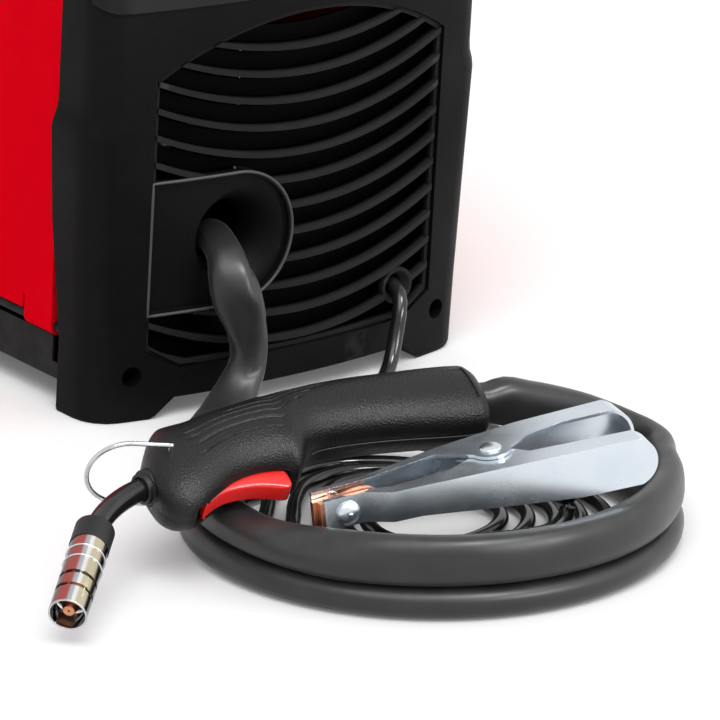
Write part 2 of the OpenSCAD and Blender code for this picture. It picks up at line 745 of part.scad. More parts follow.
module pressure_arm() {
    color([0.55, 0.56, 0.58]) {
        difference() {
            union() {
                x_rod(arm_x, arm_x + 6, arm_y, arm_z, 9);
                translate([arm_x, arm_y, arm_z - 9]) cube([6, 54, 16]);
                x_rod(arm_x, arm_x + 6, roll_y, idler_z, 6);
                translate([arm_x, roll_y - 6, idler_z]) cube([6, 12, arm_z - idler_z]);
                translate([roll_x - 6, arm_y + 50, arm_z - 3]) cube([arm_x + 6 - roll_x + 6, 22, 10]);
            }
            translate([roll_x + 4, arm_y + 61, arm_z - 5]) cylinder(r = 3 + run_gap, h = 20);
        }
        x_rod(arm_x + 5, divider_x - 6.5, arm_y, arm_z, 4);
        x_rod(roll_x - 7, arm_x + 1, roll_y, idler_z, 3);
    }
}
module idler_roll() {
    color(steel) difference() {
        x_rod(roll_x - 5, roll_x + 5, roll_y, idler_z, idler_r);
        x_rod(roll_x - 6, roll_x + 6, roll_y, idler_z, 3 + run_gap);
    }
}
module tension_knob() {
    color([0.1, 0.1, 0.1]) translate([roll_x + 4, arm_y + 61, arm_z]) {
        translate([0, 0, -4]) cylinder(r = 3, h = 14);
        difference() {
            translate([0, 0, 7.2]) cylinder(r = 8, h = 24);
            for (a = [0:36:324]) rotate(a) translate([8.4, 0, 12]) cylinder(r = 1.4, h = 30, $fn = 16);
        }
    }
}
module wire_guides() {
    color(brass) {
        difference() {
            y_rod(roll_x, roll_y + 32, roll_y + 60, outlet_z, 4);
            y_rod(roll_x, roll_y + 8, roll_y + 68, outlet_z, 1.2);
        }
        difference() {
            y_rod(roll_x, roll_y - 66, roll_y - 30, outlet_z, 4);
            y_rod(roll_x, roll_y - 72, roll_y - 12, outlet_z, 1.2);
        }
    }
}
block_y = front_y + 23;
module torch_block() {
    color(brass) difference() {
        union() {
            y_rod(roll_x, block_y, block_y + 24, outlet_z, 14);
            translate([roll_x - 14, block_y + 8, outlet_z - 14]) cube([28, 14, 28]);
            translate([roll_x - 12, block_y + 10, tray_z + sheet]) cube([24, 8, outlet_z - 20]);
        }
        y_rod(roll_x, block_y + 10, block_y + 50, outlet_z, 4.1);
    }
}

// ---- power side ----
module fan_frame() {
    color([0.1, 0.1, 0.1]) at_rear() difference() {
        translate([-fan_x - 60, 6.2, fan_z - 60]) cube([120, 23.8, 120]);
        y_rod(-fan_x, 4, 26, fan_z, fan_r + 2);
        y_rod(-fan_x, 4, 40, fan_z, 3 + run_gap);
        for (a = [0:90:270]) translate([-fan_x, 0, fan_z]) rotate([0, a + 45, 0]) translate([20, 25, -14])
            cube([fan_r - 20, 10, 28]);
    }
}
module fan_rotor() {
    color([0.15, 0.15, 0.15]) at_rear() translate([-fan_x, 0, fan_z]) {
        y_rod(0, 8, 24, 0, 19);
        y_rod(0, 20, 29, 0, 3);
        for (i = [0:6]) rotate([0, i * 360 / 7, 0]) translate([fan_r / 2 + 8, 16, 0]) rotate([38, 0, 0])
            cube([fan_r - 18, 2, 20], center = true);
    }
}
module heatsink() {
    color([0.7, 0.71, 0.73]) {
        translate([8, 20, 96]) cube([cover_hw - 19, 130, 6]);
        for (i = [0:11]) translate([8 + i * (cover_hw - 21.5) / 11, 20, 101.9]) cube([2.4, 130, 34]);
    }
    color([0.7, 0.71, 0.73]) for (y = [30, 130]) translate([divider_x + sheet, y, 97]) cube([18, 8, 4]);
}
module power_board() {
    color([0.1, 0.35, 0.2]) translate([divider_x + sheet + 1, -70, 190]) cube([cover_hw - 15, 215, 1.6]);
    color([0.15, 0.15, 0.2]) for (y = [-45, -5, 35]) translate([30, y, 191.5]) cylinder(r = 17, h = 45);
    color([0.3, 0.3, 0.3]) for (y = [75, 105, 130]) translate([20, y, 191.5]) cube([45, 12, 20]);
    color([0.6, 0.6, 0.6]) translate([divider_x + sheet, -60, 186]) cube([6, 200, 4.1]);
}
module transformer() {
    color([0.25, 0.22, 0.2]) translate([20, -20, tray_z + sheet]) difference() {
        cube([70, 80, 62]);
        for (x = [10, 40]) translate([x, -1, 12]) cube([20, 82, 38]);
    }
    color(copper) translate([42, -27, tray_z + sheet + 11.8]) difference() {
        cube([26, 94, 38.4]);
        translate([8, 6.9, -1]) cube([10.2, 80.2, 45]);
    }
}

// ---- torch ----
torch_pos = [-35.3, -401.9, 53];
torch_yaw = 167;
torch_roll = -23;
module in_torch() {
    translate(torch_pos) rotate([0, 0, torch_yaw]) rotate([torch_roll, 0, 0]) children();
}
// Rows of the handle: distance from the rear end, middle, half depth, half thickness
handle_rows = [[0, -4, 14.5, 11], [1, -4.2, 16.8, 13], [3.5, -4.5, 18.8, 14.4], [9, -4.5, 19.5, 15],
    [22, -5, 19.5, 15.2], [40, -5.5, 18.5, 15.5], [60, -5.8, 17.8, 15.7], [78, -5, 17.2, 16],
    [90, -3.2, 17.2, 16.3], [97, -0.5, 19.2, 16.6], [102, 3.8, 23, 17], [106, 6, 24.8, 17],
    [112, 5.2, 22.8, 17.2], [125, 6.5, 21, 17.2], [138, 9.7, 21.3, 17], [150, 15, 23.4, 16.6],
    [158, 18, 25.6, 16], [163, 19.5, 26, 15.4], [168, 22.3, 23.6, 14.4], [171.5, 24.4, 20.2, 13],
    [174.5, 25.6, 16, 11], [176.4, 26, 12, 8.5]];
function soft(c) = sign(c) * pow(abs(c), 0.78);
function handle_ring(row, side) =
    [for (i = [0:12]) let (a = 180 * i / 12)
        [row[0], row[1] + side * row[2] * soft(cos(a)), side * row[3] * soft(sin(a))]];
bore_v = -4.5;
function in_bore(u) = torch_pos + u * [cos(torch_yaw), sin(torch_yaw), 0] + bore_v
    * [-sin(torch_yaw) * cos(torch_roll), cos(torch_yaw) * cos(torch_roll), sin(torch_roll)];
module handle_bore(u0, u1, r) {
    translate([u0, bore_v, 0]) rotate([0, 90, 0]) cylinder(r = r, h = u1 - u0);
}
neck_u = 173;
neck_v = 21.4;
neck_a0 = 13;
neck_a1 = 56;
neck_lead = 3;
trig_u = 154.5;
trig_v = 35.5;
trig_t = 4.8;
hook_u = 166;
hook_v = 15.7;
handle_end = 176.4;
module neck_line() {
    translate([neck_u, neck_v, 0]) rotate([0, 0, neck_a0]) children();
}
module handle_half(side) {
    difference() {
        skin([for (r = handle_rows) handle_ring(r, side)]);
        handle_bore(-20, 8, sleeve_a - 1.5);
        handle_bore(13, 107, sleeve_a);
        translate([104, 0, -11]) cube([46, 14, 22]);
        neck_line() translate([-34, 0, 0]) rotate([0, 90, 0]) cylinder(r = neck_r + eps, h = 60);
        translate([109.6, 12, -trig_t - 0.6]) cube([52, 50, 2 * trig_t + 1.2]);
        neck_line() translate([handle_end - neck_u - 1.8, 0, 0]) rotate([0, 90, 0]) cylinder(r = neck_r + 3.5, h = 20);
        translate([trig_u, trig_v, -12]) cylinder(r = 2 + run_gap, h = 24);
        translate([hook_u, hook_v, -30]) cylinder(r = 1.1 + run_gap, h = 60);
    }
}
module handle_upper() {
    color(black) in_torch() handle_half(1);
}
module handle_lower() {
    color(black) in_torch() handle_half(-1);
}
trigger_outline = [[159.6, 45], [157.4, 43.4], [153, 40], [148.5, 37.3], [144, 35.3], [139, 34.2],
    [133, 33.8], [127.5, 34.1], [121, 35.4], [115, 37.2], [112.6, 37], [111, 35], [111, 27], [115, 21.5],
    [128, 18.5], [142, 22], [152, 29], [159.6, 38]];
module trigger() {
    color([0.9, 0.1, 0.1]) in_torch() {
        translate([0, 0, -trig_t]) linear_extrude(2 * trig_t) polygon(trigger_outline);
        translate([trig_u, trig_v, -11]) cylinder(r = 2, h = 22);
    }
}
module neck_path(r) {
    turn = neck_a1 - neck_a0;
    neck_line() {
        translate([-33, 0, 0]) rotate([0, 90, 0]) cylinder(r = r, h = 33 + neck_lead);
        translate([neck_lead, neck_bend, 0]) rotate([0, 0, -90]) rotate_extrude(angle = turn)
            translate([neck_bend, 0]) circle(r = r);
    }
}
module at_neck_end() {
    turn = neck_a1 - neck_a0;
    neck_line() translate([neck_lead + neck_bend * sin(turn), neck_bend * (1 - cos(turn)), 0])
        rotate([0, 0, turn]) rotate([0, 90, 0]) children();
}
module swan_neck() {
    color(black) in_torch() {
        neck_path(neck_r);
        at_neck_end() translate([0, 0, -2]) cylinder(r = neck_r - 0.05, h = 5);
    }
}
module neck_collar() {
    color(black) in_torch() neck_line() translate([handle_end - neck_u + 0.1, 0, 0])
        rotate([0, 90, 0]) difference() {
            union() {
                translate([0, 0, -1.5]) cylinder(r = neck_r + 3.2, h = 3);
                cylinder(r = neck_r + 2, h = 4);
            }
            translate([0, 0, -5]) cylinder(r = neck_r + 0.3, h = 15);
        }
}
insulator_l = 9;
module nozzle_insulator() {
    color(black) in_torch() at_neck_end() difference() {
        union() {
            translate([0, 0, -7]) cylinder(r1 = neck_r + 1, r2 = nozzle_r + 0.4, h = 3);
            translate([0, 0, -4]) cylinder(r = nozzle_r + 0.4, h = insulator_l + 4);
            translate([0, 0, 3]) cylinder(r = nozzle_r - 1, h = insulator_l + 5);
        }
        translate([0, 0, -8]) cylinder(r = neck_r + 0.5, h = 8);
        translate([0, 0, -1]) cylinder(r = neck_r + eps, h = 4);
        translate([0, 0, 3]) cylinder(r = 5, h = 40);
    }
}
module gas_nozzle() {
    color([0.85, 0.86, 0.88]) in_torch() at_neck_end() translate([0, 0, insulator_l]) difference() {
        cylinder(r = nozzle_r, h = nozzle_l, $fn = 64);
        translate([0, 0, -1]) cylinder(r = nozzle_r - 0.9, h = nozzle_l + 2, $fn = 64);
        for (z = [7, 14]) rotate_extrude() translate([nozzle_r + 0.25, z]) circle(r = 0.5, $fn = 16);
        for (row = [0, 1]) for (i = [0:6]) rotate([0, 0, i * 360 / 7 + row * 26])
            translate([nozzle_r - 3, 0, nozzle_l - 20 + row * 8.5]) {
                translate([0, -2.6, -1.1]) cube([6, 5.2, 2.2]);
                for (y = [-2.6, 2.6]) translate([0, y, 0]) rotate([0, 90, 0]) cylinder(r = 1.1, h = 6, $fn = 16);
            }
    }
}
module tip_holder() {
    color(brass) in_torch() at_neck_end() difference() {
        union() {
            translate([0, 0, 3.1]) cylinder(r = 4.95, h = 26);
            translate([0, 0, 29]) cylinder(r = 4.2, h = 8);
        }
        translate([0, 0, 25]) cylinder(r = 3, h = 20);
        translate([0, 0, 0]) cylinder(r = 1.2, h = 30);
    }
}
tip_out = insulator_l + nozzle_l - 2.5;
module contact_tip() {
    color(copper) in_torch() at_neck_end() difference() {
        union() {
            translate([0, 0, 27]) cylinder(r = 2.98, h = 11);
            translate([0, 0, 37.1]) cylinder(r = 4, h = tip_out - 41);
            translate([0, 0, tip_out - 4]) cylinder(r1 = 4, r2 = 2.6, h = 4);
        }
        translate([0, 0, 20]) cylinder(r = 0.5, h = 50, $fn = 24);
    }
}
hook_w = 18;
hook_reach = 17;
hook_wire = 1.1;
module torch_hook() {
    color(steel) in_torch() translate([hook_u, hook_v, 0]) rotate([0, 0, -13.5]) {
        translate([hook_reach, 0, 0]) rotate([90, 0, 0]) rotate([0, 0, -90])
            rotate_extrude(angle = 180) translate([hook_w, 0]) circle(r = hook_wire, $fn = 20);
        for (s = [-1, 1]) {
            translate([0, 0, s * hook_w]) rotate([0, 90, 0]) cylinder(r = hook_wire, h = hook_reach);
            translate([0, 0, s * hook_w]) sphere(r = hook_wire, $fn = 20);
            translate([0, 0, s > 0 ? hook_w - 8 : -hook_w]) cylinder(r = hook_wire, h = 8);
        }
    }
}

// ---- earth clamp ----
clamp_pos = [-75, -456, 60];
module in_clamp() {
    translate(clamp_pos) rotate([0, 0, -16.4]) rotate([0, -9, 0]) children();
}
jaw_x = -87;
tail_x = 63;
jaw_h = 18;
module side_outline(h, d) {
    r = (h - 2 * d) / 2;
    rise = clamp_h - jaw_h;
    difference() {
        polygon([[jaw_x - 20, r], [tail_x + 20, r], [tail_x + 20, -r], [35, -r], [-5, rise / 2 - r],
            [-40, rise - r], [jaw_x - 20, rise - r]]);
        difference() {
            translate([tail_x - 3, -r - 5]) square([30, 2 * r + 10]);
            translate([tail_x - 3, 0]) circle(r = r + 0.6);
        }
    }
}
inner_h = clamp_h - 2 * clamp_t - 0.5;
// Arm in its own frame: web on the -Y side, rim towards +Y, pivot at the origin
module clamp_arm(h, web, rim) {
    translate([0, 0, -clamp_h / 2]) union() {
        intersection() {
            y_extrude(-50, 30) side_outline(h, 0);
            union() {
                translate([0, 0, -h / 2]) linear_extrude(h) polygon(web);
                difference() {
                    translate([0, 0, -h / 2]) linear_extrude(h) difference() {
                        union() {
                            polygon(rim);
                            circle(r = 9.5);
                        }
                        circle(r = pivot_r + (h > inner_h ? run_gap : eps));
                    }
                    y_extrude(-50, 30) side_outline(h, clamp_t);
                }
            }
        }
    }
}
jaw_mid = -jaw_h / 2;
front_web = [[-83.8, -13.3], [-64.9, -12.1], [-53.6, -19], [tail_x + 13, -21.5], [tail_x + 13, -20],
    [-52.5, -17.5], [-63.8, -10.6], [-83.8, -11.8]];
front_rim = [[-83.8, -13.3], [-64.9, -12.1], [-53.6, -19], [tail_x + 13, -21.5], [tail_x + 13, -11],
    [16, -8], [5, 3], [-8, 0], [-22, -8.5], [-40, -11], [-52, -12.2], [-62, -9.4], [-83.8, -10.2]];
rear_web = [[jaw_x, 3.2], [-60, 5.5], [-20, 15], [20, 20], [tail_x + 13, 20], [tail_x + 13, 18.5],
    [20, 18.5], [-20, 13.5], [-60, 4], [jaw_x, 1.7]];
rear_rim = [[jaw_x, 3.2], [-60, 5.5], [-20, 15], [20, 20], [tail_x + 13, 20], [tail_x + 13, 6],
    [40, 8], [20, 4], [6, -4], [-8, -3], [-24, 8], [-60, 1.6], [jaw_x, 1.4]];
front_rivet = [-74, jaw_mid];
rear_rivet = [-78, -5.6];
module clamp_front_arm() {
    color(zinc) in_clamp() difference() {
        rotate([0, 0, -4]) difference() {
            clamp_arm(inner_h, front_web, front_rim);
            translate([22, -19, -clamp_h]) cube([24, 20, clamp_t + 3.5]);
        }
        y_rod(front_rivet.x, -20, -2, front_rivet.y, 2.02);
    }
}
module clamp_rear_arm() {
    color(zinc) in_clamp() difference() {
        clamp_arm(clamp_h, rear_web, rear_rim);
        y_rod(rear_rivet.x, 0, 10, rear_rivet.y, 2.02);
    }
}
lug_x = 30;
lug_y = -13;
lug_z = -16;
lug_l = 9;
function web_y(x) = -17.48 - 2.5 * (x + 52.5) / (tail_x + 65.5);
module clamp_lug() {
    color(copper) in_clamp() rotate([0, 0, -4]) translate([0, 0, lug_z]) {
        translate([lug_x, lug_y, 0]) cylinder(r = earth_r + 1.2, h = lug_l);
        linear_extrude(lug_l) polygon([[lug_x - 7, web_y(lug_x - 7)], [lug_x + 9, web_y(lug_x + 9)],
            [lug_x + 3, lug_y], [lug_x - 3, lug_y]]);
    }
}
module clamp_pivot() {
    color(steel) in_clamp() {
        translate([0, 0, -clamp_h - 0.4]) cylinder(r = pivot_r, h = clamp_h + 0.8);
        translate([0, 0, 0.15]) cylinder(r = 5, h = 1.6);
        translate([0, 0, -clamp_h - 1.75]) cylinder(r = 5, h = 1.6);
    }
}
module clamp_front_pad() {
    color(copper) in_clamp() {
        translate([-86, -5.7, jaw_mid - 5.6]) cube([28, 3.4, 11.2]);
        y_extrude(-4.2, -2.4) intersection() {
            translate([-68, -17]) circle(r = 17);
            translate([-80, -8]) square([24, 12]);
        }
        y_rod(front_rivet.x, -8.4, -5, front_rivet.y, 2);
        intersection() {
            translate([front_rivet.x, -4.7, front_rivet.y]) sphere(r = 5.2);
            translate([front_rivet.x - 8, -12, front_rivet.y - 8]) cube([16, 4.3, 16]);
        }
    }
}
module clamp_rear_pad() {
    color(copper) in_clamp() {
        translate([jaw_x - 1, -1.9, jaw_mid - 5.6]) cube([28, 3.2, 11.2]);
        y_rod(rear_rivet.x, 1, 5, rear_rivet.y, 2);
        y_rod(rear_rivet.x, 4.3, 7.8, rear_rivet.y, 4.2);
    }
}
spring_turns = 4;
function spring_points() = concat([[-24, -10, -clamp_h / 2]],
    [for (i = [0:8 * spring_turns]) let (a = -120 + i * 45)
        [7 * cos(a), 7 * sin(a), -clamp_h / 2 - 4.2 + 11.6 * i / (8 * spring_turns)]],
    [[-24, 8, -clamp_h / 2 + 7.4]]);
module clamp_spring() {
    p = spring_points();
    color(steel) in_clamp() tube(p, all_of([0, 0, 1], len(p)), all_of(0.9, len(p)), all_of(0.9, len(p)), 6);
}

// ---- cables ----
coil_pos = [-61, -403];
coil_rx = 123;
coil_ry = 110.5;
coil_turn = 5;
// Point of an oval loop that lies inside the coil's outline by the given amount
function dent(a, inset) = (100 - inset) * 0.26 * pow(max(0, cos(a - 42)), 3);
function on_coil(a, inset, z) = let (d = inset + dent(a, inset),
    x = (coil_rx - d) * cos(a), y = (coil_ry - d) * sin(a))
    [coil_pos.x + x * cos(coil_turn) - y * sin(coil_turn),
     coil_pos.y + x * sin(coil_turn) + y * cos(coil_turn), z];
function ramp(a, a0, a1) = let (t = min(1, max(0, (a - a0) / (a1 - a0)))) t * t * (3 - 2 * t);

// Torch sleeve: out of the outlet, down the front and along the floor.
// Each row is x, y, z, plan angle of the wide side, half width, half thickness.
torch_route = [[-43, -207, 82.5, -30, 8.5, 8], [-43, -213, 82.5, -30, 8.5, 8], [-44.5, -219, 81, -30, 8.5, 8],
    [-47, -227.5, 77.8, -34, 9, 7.8],
    [-49.5, -236, 71.5, -38, 11, 7.2], [-49, -240.5, 62, -40, 12, 7], [-45, -241.5, 51, -36, 11, 7],
    [-41, -241, 39.5, -20, 9.2, 7.8], [-41, -241.5, 29, -20, 9, 8], [-46.5, -244, 19, -40, 10, 7.4],
    [-55.5, -248.5, 12, -46, 11.5, 7], [-67.5, -255.5, 8.6, -50, 11.5, 7.5], [-83, -266, 7.6, -50, 11.5, 7.5],
    [-101, -281.5, 7.6, -48, 11.5, 7.5], [-119, -303, 7.6, -46, 11.5, 7.5], [-135, -324, 7.6, -45, 11.5, 7.5]];
module torch_cable() {
    last = on_coil(138, 12, 7.6);
    p = concat([for (r = torch_route) [r[0], r[1], r[2]]], [last]);
    s = concat([for (r = torch_route) [cos(r[3]), sin(r[3]), 0]], [[cos(-42), sin(-42), 0]]);
    color([0.2, 0.2, 0.21]) tube(p, s, concat([for (r = torch_route) r[4] * sleeve_a / 11.5], [sleeve_a]),
        concat([for (r = torch_route) r[5] * sleeve_b / 7.5], [sleeve_b]), 10);
}
// The sleeve's coil: one loop lying flat, a climb under the handle, then a loop on edge
coil_a0 = 138;
coil_a1 = 690;
coil_steps = 40;
climb_a0 = 400;
climb_a1 = 460;
upper_z = 3 * sleeve_b + 0.6;
edge_z = 2 * sleeve_b + 0.6 + sleeve_a;
twist_a0 = 530;
twist_a1 = 590;
function coil_angle(i) = coil_a0 + (coil_a1 - coil_a0) * i / coil_steps;
function torch_coil_points() = concat(
    [for (i = [0:coil_steps]) let (a = coil_angle(i), k = ramp(a, climb_a0, climb_a1), e = ramp(a, twist_a0, twist_a1))
        on_coil(a, 12 + k - 4 * e, 7.6 + (upper_z - 7.6) * k + (edge_z - upper_z) * e)],
    [[48, -436, 27.3], [50, -424, 28], [46.5, -414, 29.6], [37, -408, 34], [22, -406.5, 40.8],
     [6, -404.9, 46.8], [-10, -402.8, 51.8], in_bore(-14)], [for (u = [-6, 0, 8]) in_bore(u)]);
function torch_coil_sides(p) = [for (i = [0:len(p) - 1])
    let (k = ramp(coil_angle(i), twist_a0, twist_a1), flat = unit(cross([0, 0, 1], tangent(p, i))))
    unit(flat * (1.12 - k) + [0, 0, 1] * k)];
module torch_coil() {
    p = torch_coil_points();
    n = len(p);
    a = [for (i = [0:n - 1]) i > n - 5 ? sleeve_a - 2 : sleeve_a];
    s = torch_coil_sides(p);
    echo("Least gap of the torch coil to itself", least_gap(rings_of(p, s, a, all_of(sleeve_b, n), 8), 6));
    color([0.2, 0.2, 0.21]) tube(p, s, a, all_of(sleeve_b, n), 8);
}
// Earth cable
earth_route = [[64, -209, 42], [64, -214, 42], [64, -221, 41.6], [62.5, -229, 39], [59.5, -233.5, 32], [56, -236, 22],
    [51, -239.5, 12], [44, -244, 5.4], [34, -250, 3.8], [20, -257, 3.8], [2, -266, 3.8], [-20, -278, 3.8],
    [-42, -292, 3.8], [-64, -309, 3.8], [-86, -328, 3.8]];
earth_in = 28;
earth_pitch = 12.5;
earth_a0 = 122;
earth_a1 = 122 + 1650;
module earth_cable() {
    p = concat(earth_route, [on_coil(earth_a0, earth_in, 3.8)]);
    n = len(p);
    color([0.16, 0.16, 0.17]) tube(p, all_of([0, 0.3, 1], n), all_of(earth_r, n), all_of(earth_r, n), 8);
}
earth_steps = 104;
earth_end = earth_in + earth_pitch * (earth_a1 - earth_a0) / 360;
function earth_coil_points() = concat(
    [for (i = [0:earth_steps]) let (a = earth_a0 + (earth_a1 - earth_a0) * i / earth_steps)
        on_coil(a, earth_in + (earth_end - earth_in) * i / earth_steps, 3.8)],
    [for (a = [18:18:180]) on_coil(earth_a1 + a, earth_end + 1, 3.8 + 8.4 * ramp(a, 0, 100))],
    [[-105, -414, 12.4], [-107, -427, 12.8], [-104, -440, 14], [-96, -451, 16], [-86, -460, 18.5],
     [-76, -468, 20.5], [-66, -474.5, 22], [-57, -479, 24], [-50.3, -480.6, 28], [-47.4, -480.1, 34],
     [-48.2, -479.6, 40.8], [-49.4, -479.2, 48.7]]);
module earth_coil() {
    p = earth_coil_points();
    n = len(p);
    s = all_of([0.1, 0.1, 1], n);
    r = all_of(earth_r, n);
    echo("Least gap of the earth coil to itself", least_gap(rings_of(p, s, r, r, 6), 3));
    color([0.16, 0.16, 0.17]) tube(p, s, r, r, 6);
}
// Least distance between the surface points of rings that aren't neighbours
function rings_of(p, sides, a, b, n) = [for (i = [0:len(p) - 1]) tube_ring(p, i, sides[i], a[i], b[i], n)];
function least_gap(rings, skip) = min([for (i = [0:len(rings) - 1]) for (j = [i + skip:len(rings) - 1])
    if (j > i && norm(rings[i][0] - rings[j][0]) < 60) for (u = rings[i]) for (v = rings[j]) norm(u - v)]);

front_frame();
front_grille();
torch_outlet();
control_panel();
display_lens();
knob(-1);  // current_knob
knob(1);  // speed_knob
panel_button(-1);  // mode_button
panel_button(1);  // gas_button
rear_frame();
rear_grille();
cover();
side_door();
door_latch();
hinge_rod();
base_tray();
divider();
carry_handle();
body_screws();
spool_spindle();
wire_spool();
wire_winding();
feed_plate();
feed_motor();
drive_roll();
pressure_arm();
idler_roll();
tension_knob();
wire_guides();
torch_block();
fan_frame();
fan_rotor();
heatsink();
power_board();
transformer();
switch_housing();
switch_rocker();
mains_gland();
gas_inlet();
handle_upper();
handle_lower();
trigger();
swan_neck();
neck_collar();
nozzle_insulator();
gas_nozzle();
contact_tip();
tip_holder();
torch_hook();
torch_cable();
torch_coil();
clamp_front_arm();
clamp_rear_arm();
clamp_pivot();
clamp_spring();
clamp_front_pad();
clamp_rear_pad();
clamp_lug();
earth_cable();
earth_coil();
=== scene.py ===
import json
import math
from math import cos, pi, radians, sin

import bmesh
import bpy
from mathutils import Matrix, Vector, noise


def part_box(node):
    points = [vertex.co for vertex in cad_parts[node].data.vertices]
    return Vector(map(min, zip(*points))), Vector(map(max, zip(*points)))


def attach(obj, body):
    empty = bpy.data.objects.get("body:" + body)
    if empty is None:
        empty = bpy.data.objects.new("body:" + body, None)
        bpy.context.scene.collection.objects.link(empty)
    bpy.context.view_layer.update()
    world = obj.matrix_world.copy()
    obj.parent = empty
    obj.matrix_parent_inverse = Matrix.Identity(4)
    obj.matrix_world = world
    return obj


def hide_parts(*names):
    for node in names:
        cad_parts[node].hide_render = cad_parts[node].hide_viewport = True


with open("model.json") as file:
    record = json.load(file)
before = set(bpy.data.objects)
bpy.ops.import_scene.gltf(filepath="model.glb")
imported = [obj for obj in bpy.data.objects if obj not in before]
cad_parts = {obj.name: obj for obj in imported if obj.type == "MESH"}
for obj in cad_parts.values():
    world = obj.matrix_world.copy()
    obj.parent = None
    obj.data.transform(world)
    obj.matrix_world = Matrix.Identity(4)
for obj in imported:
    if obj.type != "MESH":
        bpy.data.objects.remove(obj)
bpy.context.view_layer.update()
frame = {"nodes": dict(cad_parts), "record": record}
print("frame loaded:", len(frame["nodes"]), "nodes")

# camera: its place and axes in metres, and a long lens in millimetres
view = {
    "place": (-2.0860, -2.7053, 1.1883),
    "right": (0.7703, -0.6354, 0.0546),
    "up": (0.1769, 0.2952, 0.9389),
    "back": (-0.6126, -0.7136, 0.3398),
    "lens": 358.4, "sensor": 36, "near": 0.5, "far": 60,
}
camera = bpy.data.objects.new("viewCamera", bpy.data.cameras.new("viewCamera"))
bpy.context.scene.collection.objects.link(camera)
turn = Matrix((view["right"], view["up"], view["back"])).transposed()
camera.matrix_world = Matrix.Translation(view["place"]) @ turn.to_quaternion().to_matrix().to_4x4()
camera.data.sensor_width = view["sensor"]
camera.data.lens = view["lens"]
camera.data.clip_start, camera.data.clip_end = view["near"], view["far"]
bpy.context.scene.camera = camera


# mesh helpers
def makePiece(name, verts, faces, smooth=True):
    mesh = bpy.data.meshes.new(name)
    mesh.from_pydata([tuple(v) for v in verts], [], faces)
    mesh.validate()
    obj = bpy.data.objects.new(name, mesh)
    bpy.context.scene.collection.objects.link(obj)
    work = bmesh.new()
    work.from_mesh(mesh)
    bmesh.ops.recalc_face_normals(work, faces=work.faces)
    for f in work.faces:
        f.smooth = smooth
    work.to_mesh(mesh)
    work.free()
    return obj


def stackRings(rings, closed=False):
    n, m = len(rings[0]), len(rings)
    verts = [p for ring in rings for p in ring]
    faces = []
    for k in range(m if closed else m - 1):
        for i in range(n):
            a, b = k * n, ((k + 1) % m) * n
            faces.append((a + i, a + (i + 1) % n, b + (i + 1) % n, b + i))
    if not closed:
        faces.append(tuple(range(n))[::-1])
        faces.append(tuple((m - 1) * n + i for i in range(n)))
    return verts, faces


def makeTube(name, rings, smooth=True, **ends):
    return makePiece(name, *stackRings(rings, **ends), smooth=smooth)


def easeRows(rows, step, width=3):
    # rows run through smoothly; the first columns are a place, and the rest ride along
    out = []
    for i in range(len(rows) - 1):
        p = [rows[max(i - 1, 0)], rows[i], rows[i + 1], rows[min(i + 2, len(rows) - 1)]]
        gap = math.dist(p[1][:width], p[2][:width])
        count = max(1, round(gap / step))
        knots = [0.0]
        for a, b in zip(p, p[1:]):
            knots.append(knots[-1] + max(math.dist(a[:width], b[:width]), 1e-5) ** 0.5)
        for k in range(count):
            t = knots[1] + (knots[2] - knots[1]) * k / count
            out.append([knotMix(p, knots, t, c) for c in range(len(rows[0]))])
    return out + [list(rows[-1])]


def knotMix(p, k, t, c):
    # one column of a smooth line through four rows

    def mix(a, b, ta, tb):
        return (a * (tb - t) + b * (t - ta)) / (tb - ta)
    a1, a2, a3 = (mix(p[i][c], p[i + 1][c], k[i], k[i + 1]) for i in range(3))
    return mix(mix(a1, a2, k[0], k[2]), mix(a2, a3, k[1], k[3]), k[1], k[2])


def sweepRings(rows, count, shape):
    # rows are place, wide side, half width, half thickness
    rings = []
    run = 0.0
    for i, row in enumerate(rows):
        here = Vector(row[:3])
        if i:
            run += (here - Vector(rows[i - 1][:3])).length
        along = (Vector(rows[min(i + 1, len(rows) - 1)][:3]) - Vector(rows[max(i - 1, 0)][:3])).normalized()
        side = Vector(row[3:6])
        side = (side - side.dot(along) * along).normalized()
        other = along.cross(side)
        ring = []
        for k in range(count):
            u, v = shape(k * 2 * pi / count, run)
            ring.append(here + side * (row[6] * u) + other * (row[7] * v))
        rings.append(ring)
    return rings


def roundSection(angle, run):
    return cos(angle), sin(angle)


def lineLength(rows):
    return sum(math.dist(a[:3], b[:3]) for a, b in zip(rows, rows[1:]))


def lathe(profile, count, place, axis, start):
    # profile is (distance along the axis, radius)
    axis, start = Vector(axis).normalized(), Vector(start)
    start = (start - start.dot(axis) * axis).normalized()
    other = axis.cross(start)
    rings = []
    for h, r in profile:
        rings.append([Vector(place) + axis * h + (start * cos(a) + other * sin(a)) * r
                      for a in (k * 2 * pi / count for k in range(count))])
    return rings


def easeIn(a, a0, a1):
    t = min(1, max(0, (a - a0) / (a1 - a0)))
    return t * t * (3 - 2 * t)


# cables, in millimetres and degrees; the coil is an oval with one side drawn in
coilShape = {"middle": (-61, -403), "reachX": 123, "reachY": 110.5, "leastY": 24, "turn": 5,
             "drawnIn": 0.26, "drawnAt": 42, "drawnTo": 100}


def onCoil(angle, inset, z):
    # a point by its angle round the coil and how far it lies inside the outer line
    r = radians
    drawn = (coilShape["drawnTo"] - inset) * coilShape["drawnIn"]
    d = inset + drawn * max(0, cos(r(angle - coilShape["drawnAt"]))) ** 3
    x = (coilShape["reachX"] - d) * cos(r(angle))
    y = max(coilShape["reachY"] - d, coilShape["leastY"]) * sin(r(angle))
    c, s = cos(r(coilShape["turn"])), sin(r(coilShape["turn"]))
    return (coilShape["middle"][0] + x * c - y * s, coilShape["middle"][1] + x * s + y * c, z)


